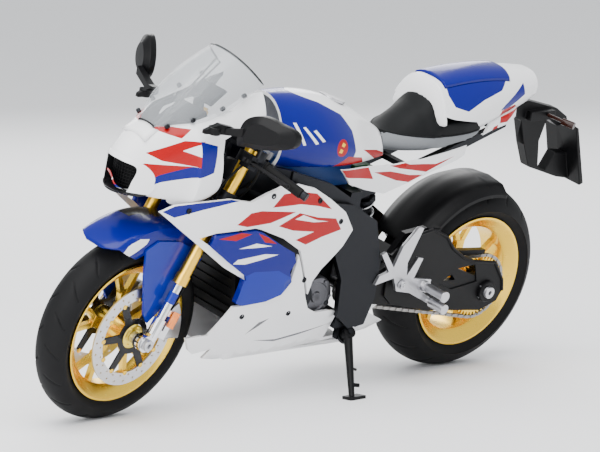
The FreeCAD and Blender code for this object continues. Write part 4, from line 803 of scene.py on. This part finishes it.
# ---- front fender ----
FENDER_CENTRE = (1.7, 42.54)
FENDER_FRONT, FENDER_REAR = 31.0, 103.0
FENDER_RADIUS, FENDER_HALF_WIDTH = 43.1, 10.1
FENDER_FLAP_Y = 11.7
FENDER_FLAP = [
    (-8.4, 77.4), (-4, 79.6), (8, 79.8), (19, 76.6), (23.4, 71.4), (17.4, 62), (11.6, 55), (7.0, 49),
    (2.4, 46.4),
    (-1.6, 55), (-6.2, 66),
]
BADGE_CORNERS = ((37.4, 37), (40.0, 36), (41.4, 42), (41.4, 50), (40.0, 56), (38.4, 54), (37.2, 46))


def on_fender(radius, degrees):
    turn = math.radians(degrees)
    return FENDER_CENTRE[0] + radius * math.cos(turn), FENDER_CENTRE[1] + radius * math.sin(turn)


def add_fender():
    """The arch over the wheel, round in front and black behind, and the flaps down beside the fork legs."""
    rows = []
    steps, across = 44, 20
    for i in range(steps + 1):
        angle = FENDER_FRONT + (FENDER_REAR - FENDER_FRONT) * i / steps
        nose_share = min(1.0, max(0.04, (angle - FENDER_FRONT) / 14.0)) ** 0.5
        tail_share = min(1.0, max(0.3, (FENDER_REAR - angle) / 9.0 + 0.3)) ** 0.5
        row = []
        for k in range(across + 1):
            c = (-1 + 2 * k / across) * nose_share * tail_share
            y = FENDER_HALF_WIDTH * math.sin(min(1.0, abs(c) * 1.35) * math.pi / 2) * (1 if c >= 0 else -1)
            drop = 1.9 * min(1.0, abs(c) / 0.72) ** 3 + max(0.0, abs(c) - 0.62) * 19.0
            x, z = on_fender(FENDER_RADIUS - drop, angle)
            row.append((x, y, z))
        rows.append(row)
    mesh = grid_mesh(rows)
    for face in mesh.faces:
        centre = face.calc_center_median()
        angle = math.degrees(math.atan2(centre.z - FENDER_CENTRE[1], centre.x - FENDER_CENTRE[0]))
        black_from = 57 + 40 * max(0.0, min(1.0, (centre.y + 3) / 13.0))
        face.material_index = 1 if angle > black_from else 0
    face_outwards(mesh)
    badge = [on_fender(radius, degrees) for radius, degrees in BADGE_CORNERS]
    paint_inside(mesh, badge, 2, lambda face, centre: abs(centre.y) > 5)
    materials = [BLUE, GLOSS_BLACK, WHITE]
    replaced = ("front_fender",)
    arch = add_piece("fender_arch", mesh, "fork_slider", materials, "fork", replaced, 50)
    thicken(arch, 0.8, 1.0)
    flap = mirror_mesh(plate_mesh(FENDER_FLAP, lambda x, z: FENDER_FLAP_Y, 0.9, 2.2))
    add_piece("fender_flaps", flap, "fork_slider", [PALE_BLUE], "fork")


# ---- wheels ----
def tread(name, cad, body, centre, radius, width, bead, lip, where):
    """A turned tyre with sipes cut into its tread and fine ribs on its walls."""
    crown = width * 0.5
    half = [
        (bead, lip + 0.3), (crown * 0.97, lip + (radius - lip) * 0.28), (crown, radius - width * 0.33),
        (crown * 0.8, radius - width * 0.17), (crown * 0.45, radius - width * 0.045),
    ]
    whole = half + [(0.0, radius)] + [(-y, r) for y, r in half[::-1]]
    profile = smooth_row([(y, r, 0) for y, r in whole], 7)
    foot = lip - 1.6
    profile += [Vector((-bead + 0.9, foot, 0)), Vector((bead - 0.9, foot, 0))]
    around = 540
    rows = []
    for step in range(around):
        turn = 2 * math.pi * step / around
        row = []
        for y, r, _ in profile:
            share = abs(y) / crown
            phase = (step * 18 / around + share * 0.62 + (0.5 if y < 0 else 0.0)) % 1.0
            sipe = 0.16 < share < 0.86 and r > radius - width * 0.3 and phase < 0.055
            depth = 0.42 if sipe else 0.0
            if r < radius - width * 0.3 and lip + 1.0 < r:
                depth = 0.10 * math.sin(r * 4.4) ** 8
            row.append((centre.x + (r - depth) * math.cos(turn), y, centre.z + (r - depth) * math.sin(turn)))
        rows.append(row)
    mesh = grid_mesh(rows, True, True)
    return add_piece(name, mesh, body, [TYRE], where, (cad,), 45)


def colour_discs():
    """Dark carriers inside the bright swept rings, with their bobbins."""
    for cad, body, centre, inner, where, sides in (
        ("front_discs", "front_wheel", FRONT_AXLE, 15.4, "steered", (-9.3, 9.3)),
        ("rear_disc", "rear_wheel", REAR_AXLE, 10.6, "bike", (-14.7,)),
    ):
        mesh = cad_mesh(cad, where)
        for face in mesh.faces:
            away = face.calc_center_median() - centre
            face.material_index = 1 if math.hypot(away.x, away.z) < inner - 0.15 else 0
        rings = cad.replace("discs", "disc") + "_rings"
        add_piece(rings, mesh, body, [DISC_STEEL, GLOSS_BLACK], where, (cad,))
        pins = bmesh.new()
        for y in sides:
            for at in circle_places((centre.x, y, centre.z), inner, 12):
                lathed(pins, at, (0, 1, 0), [(-0.62, 0.75), (-0.5, 0.95), (0.5, 0.95), (0.62, 0.75)], 12)
        add_piece(cad + "_bobbins", pins, body, [GOLD], where)


def add_hub_caps():
    """A round cap with six screws on each side of the front hub."""
    half, radius = 8.6, 4.9
    mesh = bmesh.new()
    for side in (-1, 1):
        cap = [(0, radius), (0.9, radius), (1.1, radius - 0.4)]
        lathed(mesh, FRONT_AXLE + Vector((0, side * half, 0)), (0, side, 0), cap, 32)
        for at in circle_places(FRONT_AXLE + Vector((0, side * (half + 1.0), 0)), 3.9, 6):
            lathed(mesh, at, (0, side, 0), [(0, 0.62), (0.5, 0.62), (0.7, 0.4)], 6)
    add_piece("front_hub_caps", mesh, "front_wheel", [HUB_GOLD], "steered")


# ---- chain ----
CHAIN_Y = 15.0
CHAIN_PITCH = 1.96
PLATE_RADIUS, PLATE_HALF_THICKNESS = 0.62, 0.1
REAR_CHAIN_RADIUS, FRONT_CHAIN_RADIUS = 13.85, 6.35


def side_turn(angle):
    """A unit step in the side view, at an angle up from forward."""
    return Vector((math.cos(angle), 0, math.sin(angle)))


def chain_path():
    """The loop's length, and a function for the place at a distance along it."""
    axis = REAR_AXLE - PIVOT
    length, towards = math.hypot(axis.x, axis.z), math.atan2(axis.z, axis.x)
    rear, front = REAR_CHAIN_RADIUS, FRONT_CHAIN_RADIUS
    swing = math.acos((rear - front) / length)
    run = math.sqrt(length ** 2 - (rear - front) ** 2)
    rear_wrap, front_wrap = 2 * (math.pi - swing), 2 * swing
    upper, lower = towards + math.pi - swing, towards + math.pi + swing

    def at(distance):
        if distance < run:
            start, end = PIVOT + side_turn(upper) * front, REAR_AXLE + side_turn(upper) * rear
            return start + (end - start) * (distance / run)
        distance -= run
        if distance < rear_wrap * rear:
            return REAR_AXLE + side_turn(upper - distance / rear) * rear
        distance -= rear_wrap * rear
        if distance < run:
            start, end = REAR_AXLE + side_turn(lower) * rear, PIVOT + side_turn(lower) * front
            return start + (end - start) * (distance / run)
        return PIVOT + side_turn(lower - (distance - run) / front) * front

    return 2 * run + rear_wrap * rear + front_wrap * front, at


def add_chain():
    """Plates and rollers set round the loop at one pitch."""
    total, at = chain_path()
    links = 2 * round(total / CHAIN_PITCH / 2)
    mesh = bmesh.new()
    for k in range(links):
        a, b = at(total * k / links), at(total * ((k + 1) % links) / links)
        spread = 0.72 if k % 2 else 0.46
        along = (b - a).normalized()
        up = Vector((0, 1, 0)).cross(along)
        for side in (-1, 1):
            ring_out, ring_in = [], []
            for centre, start in ((b, -90), (a, 90)):
                for step in range(5):
                    turn = math.radians(start + 180 * step / 4)
                    p = centre + (along * math.cos(turn) + up * math.sin(turn)) * PLATE_RADIUS
                    middle = CHAIN_Y + side * spread
                    ring_out.append(mesh.verts.new(p + Vector((0, middle + PLATE_HALF_THICKNESS, 0))))
                    ring_in.append(mesh.verts.new(p + Vector((0, middle - PLATE_HALF_THICKNESS, 0))))
            skin_rings(mesh, [ring_in, ring_out])
        lathed(mesh, a + Vector((0, CHAIN_Y, 0)), (0, 1, 0), [(-0.86, 0.34), (0.86, 0.34)], 8)
    face_outwards(mesh)
    add_piece("chain_links", mesh, "rear_arm", [CHAIN_STEEL], replaces=("drive_chain",))


# ---- covers, guards and small parts ----
GUARD = [
    (-30, 56), (-34, 61.6), (-42, 70), (-52, 71.6), (-61, 67.6), (-66, 62), (-73, 57.6), (-80, 55),
    (-93, 53.2),
    (-99.6, 45), (-101, 40), (-99, 35.4), (-90, 32), (-58, 35.4), (-36, 40.6), (-31, 45),
]
GUARD_WINDOW = [(-62, 46.6), (-72, 52.6), (-81.6, 53.4), (-84.6, 45.4), (-70, 43.4)]


def guard_y(x, z):
    return 20.6 + 0.5 * math.sin((x + 30) / 24)


def add_guard():
    """The plate over the chain, with a rolled upper edge and a boss round the axle."""
    mesh = plate_mesh(GUARD, guard_y, 0.8, 2.4, [GUARD_WINDOW])
    for (x0, z0), (x1, z1) in zip(GUARD, GUARD[1:]):
        if z0 > 44:
            tube_mesh([(x0, guard_y(x0, z0), z0), (x1, guard_y(x1, z1), z1)], 0.7, mesh=mesh)
    boss = [(-1, 4.6), (0.4, 4.6), (0.8, 4.2), (0.8, 3.0)]
    lathed(mesh, REAR_AXLE + Vector((0, 21.2, 0)), (0, 1, 0), boss, 32)
    add_piece("chain_guard", mesh, "rear_arm", [BLACK])


CLUTCH_CABLES = [
    [(-2.6, 21.0, 119.2), (-6.4, 17.4, 114.0), (-7.6, 13.0, 108.5), (-6.0, 8.6, 106.5)],
    [(0.4, 22.6, 118.4), (-4.2, 19.6, 112.8), (-6.4, 15.6, 106.0), (-7.4, 9.0, 103.4)],
]
BRAKE_HOSE_UPPER = [
    (2.0, 20.6, 121.4), (6.2, 19.4, 117.0), (7.4, 16.4, 108), (5.6, 12.6, 98), (4.4, 12.2, 92),
]
BRAKE_HOSE_LOWER = [(-4.2, 13.0, 74), (-4.8, 13.2, 68), (-5.2, 13.2, 60), (-5.2, 12.8, 55)]


FAIRING_BOLTS = [
    (84, 92), (46, 96.4), (22, 93), (9, 83.4), (22, 60), (60, 82.8), (4, 47), (24, 45), (48, 46),
]


def add_controls():
    """Hoses, cables, reflectors and the bands round the fork legs."""
    cables = bmesh.new()
    for path in CLUTCH_CABLES:
        tube_mesh(path, 0.45, mesh=cables)
    add_piece("control_cables", cables, "steering", [RUBBER], "fork")
    for side, name in ((1, "left"), (-1, "right")):
        upper = tube_mesh([(x, side * y, z) for x, y, z in BRAKE_HOSE_UPPER], 0.5)
        add_piece("brake_hose_upper_" + name, upper, "steering", [RUBBER], "fork")
        lower = tube_mesh([(x, side * y, z) for x, y, z in BRAKE_HOSE_LOWER], 0.5)
        add_piece("brake_hose_lower_" + name, lower, "fork_slider", [RUBBER], "fork")
    for side, name in ((1, "left"), (-1, "right")):
        rows = []
        for k in range(13):
            turn = math.pi * k / 12
            x, y = -5.4 + 1.9 * math.cos(turn), side * (15.9 + 1.5 * math.sin(turn))
            rows.append([(x, y, z) for z in (48.6, 49.2, 54.6, 55.2)])
        lens = grid_mesh(rows)
        bmesh.ops.holes_fill(lens, edges=[e for e in lens.edges if e.is_boundary])
        face_outwards(lens)
        add_piece("reflector_" + name, lens, "fork_slider", [ORANGE], "fork")
    bands = bmesh.new()
    for side in (-1, 1):
        lathed(bands, (0.64, side * 15, 57.2), (0, 0, 1), [(0, 1.8), (0.1, 1.95), (4.4, 1.95), (4.5, 1.8)])
    add_piece("fork_bands", bands, "fork_slider", [PALE_BLUE], "fork")


def half_width(x, z):
    """The fairing's half width at a place in the side view."""
    ahead, behind = max(0.0, x - 25), max(0.0, 25 - x)
    below, above = max(0.0, 72 - z), max(0.0, z - 80)
    width = 27.0 - 8 * (ahead / 70) ** 2 - 5 * (behind / 60) ** 2
    return width - 10 * (below / 45) ** 2 - 7 * (above / 35) ** 2


def add_bolts():
    mesh = bmesh.new()
    head = [(0, 1.15), (0.45, 1.15), (0.6, 0.95), (0.6, 0.55), (0.35, 0.5)]
    for x, z in FAIRING_BOLTS:
        for side in (-1, 1):
            lathed(mesh, (x, side * (half_width(x, z) - 0.3), z), (0, side, 0), head, 18)
    add_piece("fairing_bolts", mesh, "chassis", [DARK_METAL])


def soften_edges():
    """Rounds the hard edges of carried-over CAD nodes a little, as castings and mouldings have."""
    for name, width in (
        ("main_frame", 0.5), ("swingarm", 0.5), ("rearset_plates", 0.3), ("side_stand", 0.3),
        ("mirror_left", 0.5), ("mirror_right", 0.5), ("triple_clamps", 0.3), ("handlebars", 0.25),
        ("front_calipers", 0.3), ("rear_caliper", 0.3), ("engine_block", 0.5), ("engine_covers", 0.5),
        ("shift_lever", 0.25), ("brake_pedal", 0.25), ("foot_pegs", 0.25), ("plate_bracket", 0.35),
        ("dash", 0.4), ("fuel_cap", 0.25), ("front_rim", 0.2), ("rear_rim", 0.2), ("seat_hump", 0.4),
        ("rear_hugger", 0.3), ("fork_legs", 0.2), ("rear_axle", 0.2), ("front_axle", 0.15),
        ("exhaust", 0.2), ("subframe", 0.25), ("tail_lights", 0.2),
    ):
        weld = nodes[name].modifiers.new("weld", "WELD")
        weld.merge_threshold = 0.004 * MM
        bevel = nodes[name].modifiers.new("round", "BEVEL")
        bevel.width = width * MM
        bevel.segments = 2
        bevel.limit_method = "ANGLE"
        bevel.angle_limit = math.radians(38)


add_bodywork()
add_screen()
add_seat()
add_fender()
tread("front_tread", "front_tyre", "front_wheel", FRONT_AXLE, 37.8, 15.0, 5.4, 28.6, "steered")
tread("rear_tread", "rear_tyre", "rear_wheel", REAR_AXLE, 40.6, 25.0, 9.6, 28.6, "bike")
colour_discs()
add_hub_caps()
add_chain()
add_guard()
add_controls()
add_bolts()
soften_edges()


# ---- floor, light and camera ----
def add_stage():
    bpy.ops.mesh.primitive_plane_add(size=8.0, location=(0, 0, 0))
    floor = bpy.context.object
    floor.name = "floor"
    floor.data.materials.append(principled("floor_card", rgb(0.90, 0.90, 0.91), 0.75))
    world = bpy.data.worlds.new("studio")
    bpy.context.scene.world = world
    world.use_nodes = True
    background = world.node_tree.nodes["Background"]
    background.inputs["Color"].default_value = rgb(0.86, 0.88, 0.90)
    background.inputs["Strength"].default_value = 1.15


def add_lamp(name, location, target, size, power):
    lamp = bpy.data.lights.new(name, "AREA")
    lamp.shape = "RECTANGLE"
    lamp.size, lamp.size_y = size
    lamp.energy = power
    holder = bpy.data.objects.new(name, lamp)
    bpy.context.scene.collection.objects.link(holder)
    holder.location = location
    holder.rotation_euler = (Vector(target) - Vector(location)).to_track_quat("-Z", "Y").to_euler()


CAMERA_AT = Vector((0.88812, 0.92798, 0.23235))
CAMERA_AZIMUTH, CAMERA_ELEVATION = -132.99, -7.31
CAMERA_LENS = 195.88


def add_camera():
    camera = bpy.data.cameras.new("photo_view")
    holder = bpy.data.objects.new("photo_view", camera)
    bpy.context.scene.collection.objects.link(holder)
    azimuth, elevation = math.radians(CAMERA_AZIMUTH), math.radians(CAMERA_ELEVATION)
    level = math.cos(elevation)
    forward = Vector((level * math.cos(azimuth), level * math.sin(azimuth), math.sin(elevation)))
    holder.location = CAMERA_AT
    holder.rotation_mode = "QUATERNION"
    holder.rotation_quaternion = forward.to_track_quat("-Z", "Y")
    camera.sensor_width = 36.0
    camera.lens = CAMERA_LENS
    camera.clip_start, camera.clip_end = 0.05, 30.0
    bpy.context.scene.camera = holder


add_stage()
add_lamp("key", (0.35, 0.25, 0.9), (0, 0, 0.05), (0.9, 0.9), 15.0)
add_lamp("front_fill", (0.9, 0.3, 0.35), (0, 0, 0.07), (0.6, 0.5), 5.0)
add_lamp("back_rim", (-0.5, -0.8, 0.6), (0, 0, 0.08), (0.8, 0.5), 7.0)
add_camera()
